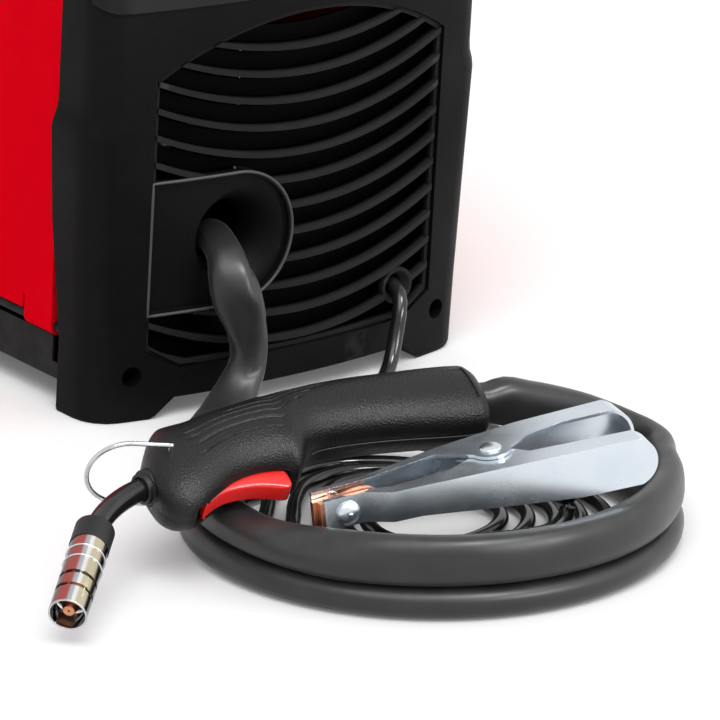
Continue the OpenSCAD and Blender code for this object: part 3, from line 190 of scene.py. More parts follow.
# the torch's own axes: along the handle, up through the trigger side, and across
torch = {"place": (-35.3, -401.9, 53), "yaw": 167, "roll": -23}
torchFrame = (Matrix.Translation([c / 1000 for c in torch["place"]])
              @ Matrix.Rotation(radians(torch["yaw"]), 4, "Z")
              @ Matrix.Rotation(radians(torch["roll"]), 4, "X")
              @ Matrix.Scale(0.001, 4))


def inTorch(u, v, n=0):
    return torchFrame @ Vector((u, v, n))


# route rows are a place, the way the wide side faces, and the half width and thickness
sleeve = {
    "halfWidth": 11.5, "halfThick": 7.5, "atGrip": 2,
    "route": [
        (-43, -207, 82.5, -30, 8.5, 8), (-43, -213, 82.5, -30, 8.5, 8), (-44.5, -219, 81, -30, 8.5, 8),
        (-47, -227.5, 77.8, -34, 9, 7.8), (-49.5, -236, 71.5, -38, 11, 7.2), (-49, -240.5, 62, -40, 12, 7),
        (-45, -241.5, 51, -36, 11, 7), (-41, -241, 39.5, -20, 9.2, 7.8), (-41, -241.5, 29, -20, 9, 8),
        (-46.5, -244, 19, -40, 10, 7.4), (-55.5, -248.5, 12, -46, 11.5, 7), (-67.5, -255.5, 8.6, -50, 11.5, 7.5),
        (-83, -266, 7.6, -50, 11.5, 7.5), (-101, -281.5, 7.6, -48, 11.5, 7.5), (-119, -303, 7.6, -46, 11.5, 7.5),
        (-135, -324, 7.6, -45, 11.5, 7.5)],
    "from": 138, "sweep": 552, "steps": 40, "inset": 12, "lowerZ": 7.6, "upperZ": 23.1, "edgeZ": 27.1,
    "climb": [(0.53, 382, 420), (0.47, 447, 470)], "onEdge": (530, 590), "edgeOut": 4,
    "lean": 0.9, "leanFrom": (372, 394), "leanTo": (412, 436), "leanLift": 5,
    "rise": [(48, -436, 27.3), (50, -424, 28), (46.5, -414, 29.6), (37, -408, 34), (22, -406.5, 40.8),
             (6, -404.9, 46.8), (-10, -402.8, 51.8)],
    "intoGrip": (-14, -6, 0, 8), "gripV": -4.5,
    "blunt": 0.8, "foldDepth": 0.24, "foldRun": 0.15, "foldAt": 0.055, "swell": 0.012,
}


def sleeveRows():
    rows = []
    for x, y, z, aim, a, b in sleeve["route"]:
        rows.append([x, y, z, cos(radians(aim)), sin(radians(aim)), 0, a, b])
    loop = []
    for i in range(sleeve["steps"] + 1):
        a = sleeve["from"] + sleeve["sweep"] * i / sleeve["steps"]
        k = sum(share * easeIn(a, a0, a1) for share, a0, a1 in sleeve["climb"])
        e = easeIn(a, *sleeve["onEdge"])
        lean = sleeve["lean"] * easeIn(a, *sleeve["leanFrom"]) * (1 - easeIn(a, *sleeve["leanTo"]))
        z = (sleeve["lowerZ"] + (sleeve["upperZ"] - sleeve["lowerZ"]) * k + sleeve["leanLift"] * lean
             + (sleeve["edgeZ"] - sleeve["upperZ"]) * e)
        loop.append((*onCoil(a, sleeve["inset"] + k - sleeve["edgeOut"] * e, z), max(e, lean)))
    loop += [(*p, 1) for p in sleeve["rise"]]
    loop += [(*(inTorch(u, sleeve["gripV"]) * 1000), 1) for u in sleeve["intoGrip"]]
    for i, (x, y, z, e) in enumerate(loop):
        a, b = Vector(loop[max(i - 1, 0)][:3]), Vector(loop[min(i + 1, len(loop) - 1)][:3])
        flat = Vector((0, 0, 1)).cross((b - a).normalized()).normalized()
        side = (flat * (1.12 - e) + Vector((0, 0, e))).normalized()
        thin = sleeve["atGrip"] if i > len(loop) - len(sleeve["intoGrip"]) else 0
        rows.append([x, y, z, *side, sleeve["halfWidth"] - thin, sleeve["halfThick"]])
    for i in range(1, len(rows)):
        if Vector(rows[i][3:6]).dot(Vector(rows[i - 1][3:6])) < 0:
            rows[i][3:6] = [-c for c in rows[i][3:6]]
    return [[c / 1000 for c in row[:3]] + row[3:6] + [row[6] / 1000, row[7] / 1000] for row in rows]


def sleeveSection(t, run):
    # a flattened tube, with folds in its skin near the outlet
    c, s = cos(t), sin(t)
    u = math.copysign(abs(c) ** sleeve["blunt"], c)
    v = math.copysign(abs(s) ** sleeve["blunt"], s)
    loose = max(0, 1 - abs(run - sleeve["foldAt"]) / sleeve["foldRun"])
    fold = noise.noise(Vector((u * 1.1, v * 1.1, run * 46)))
    fold = fold + 0.5 * noise.noise(Vector((u * 2.2, v * 2.2, run * 95)))
    swell = 1 + sleeve["swell"] * noise.noise(Vector((u, v, run * 14))) - loose * sleeve["foldDepth"] * max(0, fold)
    return u * swell, v * swell


cableStep = 0.004
rows = easeRows(sleeveRows(), cableStep)
torchSleeve = makeTube("torchSleeve", sweepRings(rows, 28, sleeveSection))
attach(torchSleeve, "case")
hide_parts("torch_cable", "torch_coil")
torchLength = lineLength(rows)

lead = {
    "radius": 3.7, "floorZ": 3.8,
    "route": [
        (64, -209, 42), (64, -214, 42), (64, -221, 41.6), (62.5, -229, 39), (59.5, -233.5, 32), (56, -236, 22),
        (51, -239.5, 12), (44, -244, 5.4), (34, -250, 3.8), (20, -257, 3.8), (2, -266, 3.8), (-20, -278, 3.8),
        (-42, -292, 3.8), (-64, -309, 3.8), (-86, -328, 3.8)],
    "inset": 28, "pitch": 12.5, "from": 122, "sweep": 1650, "steps": 104,
    "bow": 20, "bowAt": 76, "bowSpan": 58,  # the loops reach out at the back
    "over": 180, "overStep": 18, "overLift": 8.4, "overBy": 100,  # the last half loop climbs over the others
    "rise": [(-105, -414, 12.4), (-107, -427, 12.8), (-104, -440, 14), (-96, -451, 16), (-86, -460, 18.5),
             (-76, -468, 20.5), (-66, -474.5, 22), (-57, -479, 24), (-50.3, -480.6, 28), (-47.4, -480.1, 34),
             (-48.2, -479.6, 40.8), (-49.4, -479.2, 48.7)],
}


def leadRows():
    rows = list(lead["route"])
    last = lead["inset"] + lead["pitch"] * lead["sweep"] / 360
    for i in range(lead["steps"] + 1):
        a = lead["from"] + lead["sweep"] * i / lead["steps"]
        away = min(lead["bowSpan"], abs((a - lead["bowAt"] + 180) % 360 - 180))
        back = (1 + cos(pi * away / lead["bowSpan"])) / 2
        inset = lead["inset"] + (last - lead["inset"]) * i / lead["steps"] - lead["bow"] * back
        rows.append(onCoil(a, inset, lead["floorZ"]))
    for a in range(lead["overStep"], lead["over"] + 1, lead["overStep"]):
        z = lead["floorZ"] + lead["overLift"] * easeIn(a, 0, lead["overBy"])
        rows.append(onCoil(lead["from"] + lead["sweep"] + a, last + 1, z))
    rows += lead["rise"]
    r = lead["radius"] / 1000
    return [[x / 1000, y / 1000, z / 1000, 0.1, 0.1, 1, r, r] for x, y, z in rows]


rows = easeRows(leadRows(), cableStep)
earthLead = makeTube("earthLead", sweepRings(rows, 16, roundSection))
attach(earthLead, "case")
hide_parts("earth_cable", "earth_coil")
print(f"cord lengths: torch {torchLength:.3f} m, earth {lineLength(rows):.3f} m")


# shader groups
def newGroup(name, outputs, **inputs):
    group = bpy.data.node_groups.new(name, "ShaderNodeTree")
    for label, value in inputs.items():
        group.interface.new_socket(label, in_out="INPUT", socket_type="NodeSocketFloat").default_value = value
    for label in outputs:
        group.interface.new_socket(label, in_out="OUTPUT", socket_type="NodeSocketFloat")
    return group, group.nodes.new("NodeGroupInput").outputs, group.nodes.new("NodeGroupOutput").inputs


def put(tree, kind, **values):
    node = tree.nodes.new(kind)
    for key, value in values.items():
        setattr(node, key, value)
    return node


def feed(tree, value, socket):
    # a number is set on the socket, and anything else is linked to it
    if isinstance(value, (int, float)):
        socket.default_value = value
    else:
        tree.links.new(value, socket)


def maths(tree, op, a, b=None, clamp=False):
    node = put(tree, "ShaderNodeMath", operation=op, use_clamp=clamp)
    feed(tree, a, node.inputs[0])
    if b is not None:
        feed(tree, b, node.inputs[1])
    return node.outputs[0]


def spread(tree, value, low, high, toLow=0.0, toHigh=1.0):
    node = put(tree, "ShaderNodeMapRange", interpolation_type="SMOOTHSTEP")
    tree.links.new(value, node.inputs["Value"])
    for key, amount in (("From Min", low), ("From Max", high), ("To Min", toLow), ("To Max", toHigh)):
        feed(tree, amount, node.inputs[key])
    return node.outputs["Result"]


def onObject(tree):
    return put(tree, "ShaderNodeTexCoord").outputs["Object"]


def axesOf(tree, vector):
    node = put(tree, "ShaderNodeSeparateXYZ")
    tree.links.new(vector, node.inputs[0])
    return node.outputs


def clouds(tree, place, scale, detail=3.0, rough=0.55):
    node = put(tree, "ShaderNodeTexNoise")
    tree.links.new(place, node.inputs["Vector"])
    node.inputs["Detail"].default_value = detail
    node.inputs["Roughness"].default_value = rough
    feed(tree, scale, node.inputs["Scale"])
    return node.outputs["Fac"]


def cellsOf(tree, place, scale, **values):
    node = put(tree, "ShaderNodeTexVoronoi", **values)
    tree.links.new(place, node.inputs["Vector"])
    feed(tree, scale, node.inputs["Scale"])
    return node


def blend(tree, a, shareA, b, shareB):
    return maths(tree, "ADD", maths(tree, "MULTIPLY", a, shareA), maths(tree, "MULTIPLY", b, shareB))


def grainGroup():
    group, given, made = newGroup("moulded grain", ("Height", "Tone"), Scale=900.0, Patch=14.0)
    place = onObject(group)
    cells = cellsOf(group, place, given["Scale"], feature="SMOOTH_F1")
    cells.inputs["Smoothness"].default_value = 0.6
    fine = clouds(group, place, given["Scale"], 2.0)
    group.links.new(blend(group, cells.outputs["Distance"], 0.7, fine, 0.5), made["Height"])
    group.links.new(clouds(group, place, given["Patch"], 4.0), made["Tone"])
    return group


def patchyGroup(name, where, low, high, patches, amount, scale):
    # a mask that lies where it is told and is broken up by clouds
    group, given, made = newGroup(name, ("Mask",), Amount=amount, Scale=scale)
    surface = put(group, "ShaderNodeNewGeometry").outputs
    level = surface["Pointiness"] if where == "edges" else axesOf(group, surface["Normal"])["Z"]
    detail, rough, thin, thick = patches
    patchy = spread(group, clouds(group, onObject(group), given["Scale"], detail, rough), thin, thick)
    mask = maths(group, "MULTIPLY", spread(group, level, low, high), patchy)
    group.links.new(maths(group, "MULTIPLY", mask, given["Amount"], clamp=True), made["Mask"])
    return group


def smearGroup():
    group, given, made = newGroup("handling smear", ("Roughness",), Low=0.3, High=0.4, Scale=30.0)
    cloud = clouds(group, onObject(group), given["Scale"], 5.0, 0.6)
    group.links.new(spread(group, cloud, 0.3, 0.7, given["Low"], given["High"]), made["Roughness"])
    return group


def spangleGroup():
    group, given, made = newGroup("plated steel", ("Tone", "Height"), Scale=260.0)
    place = onObject(group)
    cells = cellsOf(group, place, given["Scale"])
    cloud = clouds(group, place, 38.0, 4.0, 0.6)
    group.links.new(blend(group, cells.outputs["Color"], 0.06, cloud, 0.94), made["Tone"])
    group.links.new(clouds(group, place, 900.0, 2.0), made["Height"])
    return group


def turnedGroup():
    group, given, made = newGroup("turned lines", ("Height",), Scale=700.0)
    bands = put(group, "ShaderNodeTexWave", wave_type="BANDS", bands_direction="DIAGONAL")
    bands.inputs["Distortion"].default_value = 3.0
    bands.inputs["Detail"].default_value = 2.0
    group.links.new(onObject(group), bands.inputs["Vector"])
    group.links.new(given["Scale"], bands.inputs["Scale"])
    group.links.new(bands.outputs["Fac"], made["Height"])
    return group


grain, smear, spangle, turned = grainGroup(), smearGroup(), spangleGroup(), turnedGroup()
wear = patchyGroup("edge wear", "edges", 0.52, 0.62, (4.0, 0.55, 0.35, 0.7), 0.5, 120.0)
dust = patchyGroup("dust film", "tops", 0.1, 0.95, (6.0, 0.62, 0.3, 0.75), 0.3, 22.0)
print("shader groups")


# finishes
shaderSockets = {"specular": "Specular IOR Level", "coat": "Coat Weight", "coatRough": "Coat Roughness",
                 "sheen": "Sheen Weight", "sheenRough": "Sheen Roughness", "ior": "IOR"}


def newFinish(name, colour, rough, metal=0.0, **sockets):
    mat = bpy.data.materials.new(name)
    mat.use_nodes = True
    tree = mat.node_tree
    shader = tree.nodes["Principled BSDF"]
    shader.inputs["Base Color"].default_value = (*colour, 1)
    shader.inputs["Roughness"].default_value = rough
    shader.inputs["Metallic"].default_value = metal
    for key, value in sockets.items():
        shader.inputs[shaderSockets[key]].default_value = value
    return mat, tree, shader


def use(tree, group, **values):
    node = put(tree, "ShaderNodeGroup", node_tree=group)
    for key, value in values.items():
        node.inputs[key].default_value = value
    return node


colourMix = {"share": 0, "first": 6, "second": 7, "result": 2}  # sockets of a Mix node that mixes colours


def tint(tree, share, first, second):
    # the first is a colour or a link, the second a colour
    node = put(tree, "ShaderNodeMix", data_type="RGBA")
    if isinstance(first, tuple):
        node.inputs[colourMix["first"]].default_value = (*first, 1)
    else:
        tree.links.new(first, node.inputs[colourMix["first"]])
    node.inputs[colourMix["second"]].default_value = (*second, 1)
    tree.links.new(share, node.inputs[colourMix["share"]])
    return node.outputs[colourMix["result"]]


def lay(tree, group, amount, first, second, **values):
    # a colour laid over another through the group's mask
    return tint(tree, use(tree, group, Amount=amount, **values).outputs["Mask"], first, second)


def complete(tree, shader, colour, rough, smears, height, relief, depth=0.0002):
    # colour, a smeared roughness and a fine relief
    tree.links.new(colour, shader.inputs["Base Color"])
    smeared = use(tree, smear, Low=rough[0], High=rough[1], Scale=smears)
    tree.links.new(smeared.outputs["Roughness"], shader.inputs["Roughness"])
    bump = put(tree, "ShaderNodeBump")
    bump.inputs["Strength"].default_value = relief
    bump.inputs["Distance"].default_value = depth
    tree.links.new(height, bump.inputs["Height"])
    tree.links.new(bump.outputs["Normal"], shader.inputs["Normal"])


def slotShadeMask(tree, axisY, face, floor):
    # painted shade: how far a point lies behind a face bowed round an upright axis, used to darken the louvre slots
    at = axesOf(tree, onObject(tree))
    y = maths(tree, "SUBTRACT", at["Y"], axisY)
    squares = maths(tree, "ADD", maths(tree, "MULTIPLY", at["X"], at["X"]), maths(tree, "MULTIPLY", y, y))
    return spread(tree, maths(tree, "SQRT", squares), floor, face, 1.0, 0.0)


def mouldedPlastic(name, dark, light, dusty, rough=(0.42, 0.56), scale=950.0, strength=0.35, worn=(0.09, 0.09, 0.092),
                   depth=0.0002, slotShade=None, **sockets):
    mat, tree, shader = newFinish(name, dark, rough[0], **sockets)
    skin = use(tree, grain, Scale=scale, Patch=11.0)
    colour = tint(tree, spread(tree, skin.outputs["Tone"], 0.35, 0.65), dark, light)
    colour = lay(tree, dust, 0.35, colour, dusty)
    colour = lay(tree, wear, 0.5, colour, worn)
    if slotShade:
        # painted shade: the slots between the louvres turn near black with depth behind the face
        colour = tint(tree, slotShadeMask(tree, *slotShade), colour, (0.0003, 0.0003, 0.0003))
    complete(tree, shader, colour, rough, 30.0, skin.outputs["Height"], strength, depth)
    return mat


def paintedSteel(name, colour, deep, rough, **sockets):
    mat, tree, shader = newFinish(name, colour, rough, **sockets)
    skin = use(tree, grain, Scale=420.0, Patch=6.0)
    mixed = tint(tree, spread(tree, skin.outputs["Tone"], 0.3, 0.7), colour, deep)
    mixed = lay(tree, dust, 0.04, mixed, tuple(c * 0.6 + 0.02 for c in colour))
    mixed = lay(tree, wear, 0.25, mixed, tuple(min(1, c * 1.3 + 0.03) for c in colour))
    complete(tree, shader, mixed, (rough, rough + 0.1), 18.0, skin.outputs["Height"], 0.05)
    return mat


def platedSteel(name, light, dark, rough, strength, scale, metal=1.0):
    mat, tree, shader = newFinish(name, light, rough[0], metal)
    plate = use(tree, spangle, Scale=scale)
    colour = tint(tree, spread(tree, plate.outputs["Tone"], 0.35, 0.75), light, dark)
    complete(tree, shader, colour, rough, 55.0, plate.outputs["Height"], strength)
    return mat


def turnedMetal(name, light, dark, rough):
    mat, tree, shader = newFinish(name, light, rough[0], 1.0)
    colour = tint(tree, spread(tree, clouds(tree, onObject(tree), 90.0, 4.0), 0.35, 0.7), light, dark)
    colour = lay(tree, wear, 0.5, colour, tuple(min(1, c * 1.25) for c in light))
    complete(tree, shader, colour, rough, 80.0, use(tree, turned).outputs["Height"], 0.1, 0.0001)
    return mat


def cableSheath(name, dark, light, rough, sheen, strength=0.08):
    mat, tree, shader = newFinish(name, dark, rough[0], specular=0.4, sheen=sheen, sheenRough=0.4)
    skin = use(tree, grain, Scale=1500.0, Patch=26.0)
    colour = tint(tree, spread(tree, skin.outputs["Tone"], 0.3, 0.7), dark, light)
    colour = lay(tree, dust, 0.12, colour, (0.16, 0.16, 0.16), Scale=60.0)
    complete(tree, shader, colour, rough, 40.0, skin.outputs["Height"], strength)
    return mat


def boardFinish():
    # green laminate with tinned tracks
    mat, tree, shader = newFinish("boardLaminate", (0.02, 0.16, 0.06), 0.35)
    place = onObject(tree)
    tracks = put(tree, "ShaderNodeTexBrick")
    tracks.inputs["Scale"].default_value = 140.0
    tracks.inputs["Mortar Size"].default_value = 0.03
    tree.links.new(place, tracks.inputs["Vector"])
    colour = tint(tree, spread(tree, clouds(tree, place, 30.0), 0.4, 0.6), (0.012, 0.13, 0.045), (0.02, 0.2, 0.075))
    colour = tint(tree, maths(tree, "MULTIPLY", tracks.outputs["Fac"], 0.5), colour, (0.35, 0.36, 0.3))
    complete(tree, shader, colour, (0.28, 0.45), 30.0, tracks.outputs["Fac"], 0.2)
    return mat


# the swan neck in the torch's axes: where it leaves the handle, its lean, and its bend
neck = {"u": 173, "v": 21.4, "lean": 13, "straight": 3, "bend": 43, "bendRadius": 62}
neckBend = radians(neck["bend"])
neckEnd = (torchFrame @ Matrix.Translation((neck["u"], neck["v"], 0))
           @ Matrix.Rotation(radians(neck["lean"]), 4, "Z")
           @ Matrix.Translation((neck["straight"] + neck["bendRadius"] * sin(neckBend),
                                 neck["bendRadius"] * (1 - cos(neckBend)), 0))
           @ Matrix.Rotation(neckBend, 4, "Z") @ Matrix.Rotation(radians(90), 4, "Y"))

# painted reflections: a bright plate with reflected bands painted into its colour round the tube; stops are degrees
# from its face and a colour
nozzle = {
    "face": -179.4,
    "reflectionStops": [
        (-180, (0.5, 0.5, 0.52)), (-120, (0.16, 0.15, 0.15)), (-62, (0.05, 0.045, 0.045)), (-48, (0.3, 0.06, 0.05)),
        (-18, (0.42, 0.1, 0.085)), (-13, (0.4, 0.4, 0.42)), (-3, (0.5, 0.5, 0.52)), (0, (0.86, 0.85, 0.83)),
        (8, (0.84, 0.83, 0.79)), (13, (0.6, 0.54, 0.38)), (42, (0.53, 0.48, 0.34)), (52, (0.08, 0.075, 0.07)),
        (110, (0.2, 0.19, 0.18)), (180, (0.5, 0.5, 0.52))],
}


def nozzleReflectionPaint():
    mat, tree, shader = newFinish("nozzlePaintedReflections", (0.86, 0.84, 0.82), 0.12, 1.0)
    turnTo = put(tree, "ShaderNodeMapping", vector_type="TEXTURE")
    turnTo.inputs["Location"].default_value = neckEnd.to_translation()
    turnTo.inputs["Rotation"].default_value = neckEnd.to_3x3().normalized().to_euler()
    tree.links.new(onObject(tree), turnTo.inputs["Vector"])
    at = axesOf(tree, turnTo.outputs["Vector"])
    angle = maths(tree, "ARCTAN2", at["Y"], at["X"])
    around = maths(tree, "SUBTRACT", radians(180 + nozzle["face"]), angle)
    share = maths(tree, "FRACT", maths(tree, "DIVIDE", around, 2 * pi))
    # painted reflections: the ramp lays the reflected bands into the base colour by angle round the tube
    ramp = put(tree, "ShaderNodeValToRGB")
    marks = ramp.color_ramp.elements
    marks[0].position, marks[1].position = 0, 1
    marks[0].color, marks[1].color = (*nozzle["reflectionStops"][0][1], 1), (*nozzle["reflectionStops"][-1][1], 1)
    for degrees, colour in nozzle["reflectionStops"][1:-1]:
        marks.new((degrees + 180) / 360).color = (*colour, 1)
    tree.links.new(share, ramp.inputs["Fac"])
    lines = use(tree, turned, Scale=520.0).outputs["Height"]
    complete(tree, shader, ramp.outputs["Color"], (0.08, 0.2), 130.0, lines, 0.04, 0.0001)
    return mat


finishes = {
    "black_plastic": mouldedPlastic("mouldingPlastic", (0.0035, 0.0035, 0.0037), (0.0055, 0.0055, 0.0056),
                                    (0.012, 0.012, 0.0122), rough=(0.42, 0.52), scale=1300.0, strength=0.7,
                                    worn=(0.04, 0.04, 0.041), ior=1.15),
    "panel_black": mouldedPlastic("panelFoil", (0.005, 0.005, 0.0052), (0.006, 0.006, 0.0062), (0.008, 0.008, 0.0082),
                                  rough=(0.36, 0.4), scale=1600.0, strength=0.06, worn=(0.014, 0.014, 0.014),
                                  ior=1.25),
    "display": mouldedPlastic("displayWindow", (0.003, 0.003, 0.004), (0.004, 0.004, 0.005), (0.01, 0.01, 0.01),
                              rough=(0.16, 0.2), scale=300.0, strength=0.01, worn=(0.004, 0.004, 0.005), ior=1.3),
    "segments": mouldedPlastic("litSegments", (0.9, 0.05, 0.02), (0.9, 0.06, 0.02), (0.9, 0.06, 0.02),
                               rough=(0.3, 0.35), scale=900.0, strength=0.02, worn=(0.9, 0.06, 0.02), ior=1.3),
    "knob_black": mouldedPlastic("knobPlastic", (0.012, 0.012, 0.0125), (0.018, 0.018, 0.018), (0.05, 0.05, 0.05),
                                 rough=(0.34, 0.46), scale=1500.0, strength=0.15),
    "button_grey": mouldedPlastic("buttonPlastic", (0.46, 0.46, 0.48), (0.5, 0.5, 0.52), (0.6, 0.6, 0.6),
                                  rough=(0.3, 0.42), scale=1500.0, strength=0.1, worn=(0.7, 0.7, 0.7)),
    "red_paint": paintedSteel("redPowderCoat", (0.69, 0.0, 0.008), (0.66, 0.0, 0.007), 0.36, ior=1.03),
    "black_paint": paintedSteel("blackPowderCoat", (0.008, 0.008, 0.0085), (0.012, 0.012, 0.012), 0.45, ior=1.2),
    "zinc": platedSteel("brightZinc", (0.66, 0.715, 0.765), (0.6, 0.66, 0.72), (0.22, 0.28), 0.015, 700.0, 0.94),
    "steel": turnedMetal("turnedSteel", (0.62, 0.63, 0.65), (0.45, 0.46, 0.48), (0.18, 0.3)),
    "nozzle_chrome": nozzleReflectionPaint(),
    "copper": turnedMetal("bareCopper", (0.72, 0.34, 0.2), (0.5, 0.21, 0.12), (0.26, 0.4)),
    "brass": turnedMetal("turnedBrass", (0.72, 0.66, 0.5), (0.55, 0.46, 0.3), (0.2, 0.32)),
    "aluminium": platedSteel("finAluminium", (0.7, 0.71, 0.73), (0.5, 0.51, 0.53), (0.35, 0.5), 0.15, 120.0),
    "iron": platedSteel("coreSteel", (0.16, 0.15, 0.15), (0.08, 0.075, 0.075), (0.45, 0.6), 0.2, 90.0),
    "board": boardFinish(),
    "dark_plastic": mouldedPlastic("innerPlastic", (0.011, 0.011, 0.012), (0.016, 0.016, 0.016), (0.05, 0.05, 0.05),
                                   specular=0.3),
    "spool_plastic": mouldedPlastic("spoolPlastic", (0.05, 0.055, 0.06), (0.065, 0.07, 0.075), (0.12, 0.12, 0.12),
                                    rough=(0.3, 0.42), strength=0.1),
    "wire": turnedMetal("copperedWire", (0.8, 0.42, 0.26), (0.6, 0.3, 0.18), (0.2, 0.32)),
    "trigger_red": mouldedPlastic("triggerPlastic", (0.93, 0.02, 0.018), (0.9, 0.015, 0.015), (0.9, 0.05, 0.04),
                                  rough=(0.24, 0.34), scale=1300.0, strength=0.08, worn=(0.85, 0.06, 0.05),
                                  coat=0.3, coatRough=0.15),
    "rocker_red": mouldedPlastic("rockerPlastic", (0.6, 0.01, 0.012), (0.52, 0.008, 0.01), (0.7, 0.1, 0.08),
                                 rough=(0.2, 0.3), scale=1300.0, strength=0.05, worn=(0.7, 0.06, 0.05)),
    "sleeve": cableSheath("cableSleeve", (0.016, 0.016, 0.0165), (0.023, 0.023, 0.0235), (0.34, 0.44), 0.1),
    "handle": mouldedPlastic("handlePlastic", (0.0055, 0.0055, 0.0057), (0.008, 0.008, 0.0082),
                             (0.012, 0.012, 0.0122), rough=(0.34, 0.42), scale=1150.0, strength=1.0,
                             worn=(0.05, 0.05, 0.051), depth=0.0003, specular=0.26),
    "louvres": mouldedPlastic("louvrePaintedSlotShade", (0.02, 0.02, 0.0202), (0.026, 0.026, 0.0265), (0.04, 0.04, 0.041),
                              scale=1300.0, strength=0.6, slotShade=(0.235, 0.4625, 0.4585), ior=1.1),
    # painted highlight: lighter plastic for thin beads along edges, standing in for edges that catch the light
    "rim": mouldedPlastic("rimPlastic", (0.06, 0.06, 0.061), (0.075, 0.075, 0.076), (0.08, 0.08, 0.08),
                          scale=1300.0, strength=0.2, specular=0.3),
    # painted shade: near-black matte for the disc that stands in for the shade inside the outlet's throat
    "throatShade": mouldedPlastic("throatPaintedShade", (0.0003, 0.0003, 0.0003), (0.0004, 0.0004, 0.0004), (0.0004, 0.0004, 0.0004),
                           rough=(0.9, 0.95), strength=0.05, worn=(0.0004, 0.0004, 0.0004), specular=0.0),
    "cable_black": cableSheath("leadSheath", (0.006, 0.006, 0.0065), (0.01, 0.01, 0.01), (0.12, 0.2), 0.0, 0.03),
}
torchSleeve.data.materials.append(finishes["sleeve"])
earthLead.data.materials.append(finishes["cable_black"])
print("finishes:", len(finishes))

slotOf = {part["node"]: part["material_slot"] for part in frame["record"]["subparts"]}
ownFinish = {"front_grille": "louvres", "hinge_rod": "black_paint"}  # nodes whose finish isn't their slot's
shading = {"weld": 0.00002, "bevelSteps": 2, "bevelAngle": 40, "frameAngle": 34, "crispAngle": 34}

# widths of the rounded edges on the solids, in millimetres
edges = {
    "front_frame": 0.9, "front_grille": 0.35, "torch_outlet": 0.5, "rear_frame": 0.9, "carry_handle": 0.8,
    "side_door": 0.6, "cover": 0.4, "clamp_front_arm": 0.3, "clamp_rear_arm": 0.3, "clamp_front_pad": 0.3,
    "clamp_rear_pad": 0.3, "gas_nozzle": 0.15, "current_knob": 0.3, "speed_knob": 0.3, "mode_button": 0.5,
    "gas_button": 0.5, "door_latch": 0.6, "neck_collar": 0.4, "nozzle_insulator": 0.3, "clamp_pivot": 0.5,
    "switch_rocker": 0.5, "switch_housing": 0.5, "tip_holder": 0.2, "contact_tip": 0.2,
}


def dressNode(name, obj, slotName):
    if "custom_normal" in obj.data.attributes:
        obj.data.attributes.remove(obj.data.attributes["custom_normal"])
    obj.data.materials.clear()
    obj.data.materials.append(finishes[slotName])
    for f in obj.data.polygons:
        f.use_smooth = True
    weld = obj.modifiers.new("weld", "WELD")
    weld.merge_threshold = shading["weld"]
    if name in edges:
        bevel = obj.modifiers.new("softEdges", "BEVEL")
        bevel.width = edges[name] / 1000
        bevel.segments = shading["bevelSteps"]
        bevel.limit_method = "ANGLE"
        bevel.angle_limit = radians(shading["frameAngle" if name.endswith("_frame") else "bevelAngle"])
    else:
        split = obj.modifiers.new("crispEdges", "EDGE_SPLIT")
        split.split_angle = radians(shading["crispAngle"])
        split.use_edge_sharp = False
    even = obj.modifiers.new("evenShading", "WEIGHTED_NORMAL")
    even.keep_sharp = True


for name, obj in frame["nodes"].items():
    dressNode(name, obj, ownFinish.get(name, slotOf[name]))
print("nodes dressed")


def finishPiece(obj, body, slotName, *nodes, finish=None):
    obj.data.materials.clear()
    obj.data.materials.append(finishes[finish or slotName])
    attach(obj, body)
    if nodes:
        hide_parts(*nodes)
    return obj


# torch handle: rows are the place along it, the middle's height, and the half depth and thickness
handle = {
    "rows": [
        (0, -4, 14.5, 11), (1, -4.2, 16.8, 13), (3.5, -4.5, 18.8, 14.4), (9, -4.5, 19.5, 15), (22, -5, 19.5, 15.2),
        (40, -5.5, 18.5, 15.5), (60, -5.8, 17.8, 15.7), (78, -5, 17.2, 16), (90, -3.2, 17.2, 16.3),
        (97, -0.5, 19.2, 16.6), (102, 3.8, 23, 17), (106, 6, 24.8, 17), (112, 5.2, 22.8, 17.2), (125, 6.5, 21, 17.2),
        (138, 9.7, 21.3, 17), (150, 15, 23.4, 16.6), (158, 18, 25.6, 16), (163, 19.5, 26, 15.4),
        (168, 22.3, 23.6, 14.4), (171.5, 24.4, 20.2, 13), (174.5, 25.6, 16, 11), (176.4, 26, 12, 8.5)],
    "step": 2.0, "blunt": 0.78, "angleStep": 5, "seam": 0.35,
    "grooves": [(126, 70, 114), (118, 76, 133), (109, 83, 158), (100, 91, 156), (91, 102, 155), (82, 106, 154)],
    "grooveDepth": 0.5, "grooveHalf": 1.1, "grooveRunOut": 4,
    "label": {"from": 5, "to": 12.5, "low": 66, "high": 124, "depth": 0.7, "edgeTurn": 1.2, "edge": 0.4,
              "insideTurn": 1, "inside": 0.3},
    "bead": {"from": 3, "to": 92, "sunk": 0.1, "half": 0.0003}, "crispAngle": 38,
}


def handleRows():
    return easeRows([list(r) for r in handle["rows"]], handle["step"], 2)


def handleCut(u, a):
    # depth of the grooves and of the bare label recess at a point of the upper shell
    label = handle["label"]
    turn, run = label["insideTurn"], label["inside"]
    if label["low"] + turn < a < label["high"] - turn and label["from"] + run < u < label["to"] - run:
        return label["depth"]
    cut = 0.0
    for g, u0, u1 in handle["grooves"]:
        if abs(a - g) < 0.5:
            fade = easeIn(u, u0, u0 + handle["grooveRunOut"]) * (1 - easeIn(u, u1 - handle["grooveRunOut"], u1))
            cut = handle["grooveDepth"] * fade
    return cut


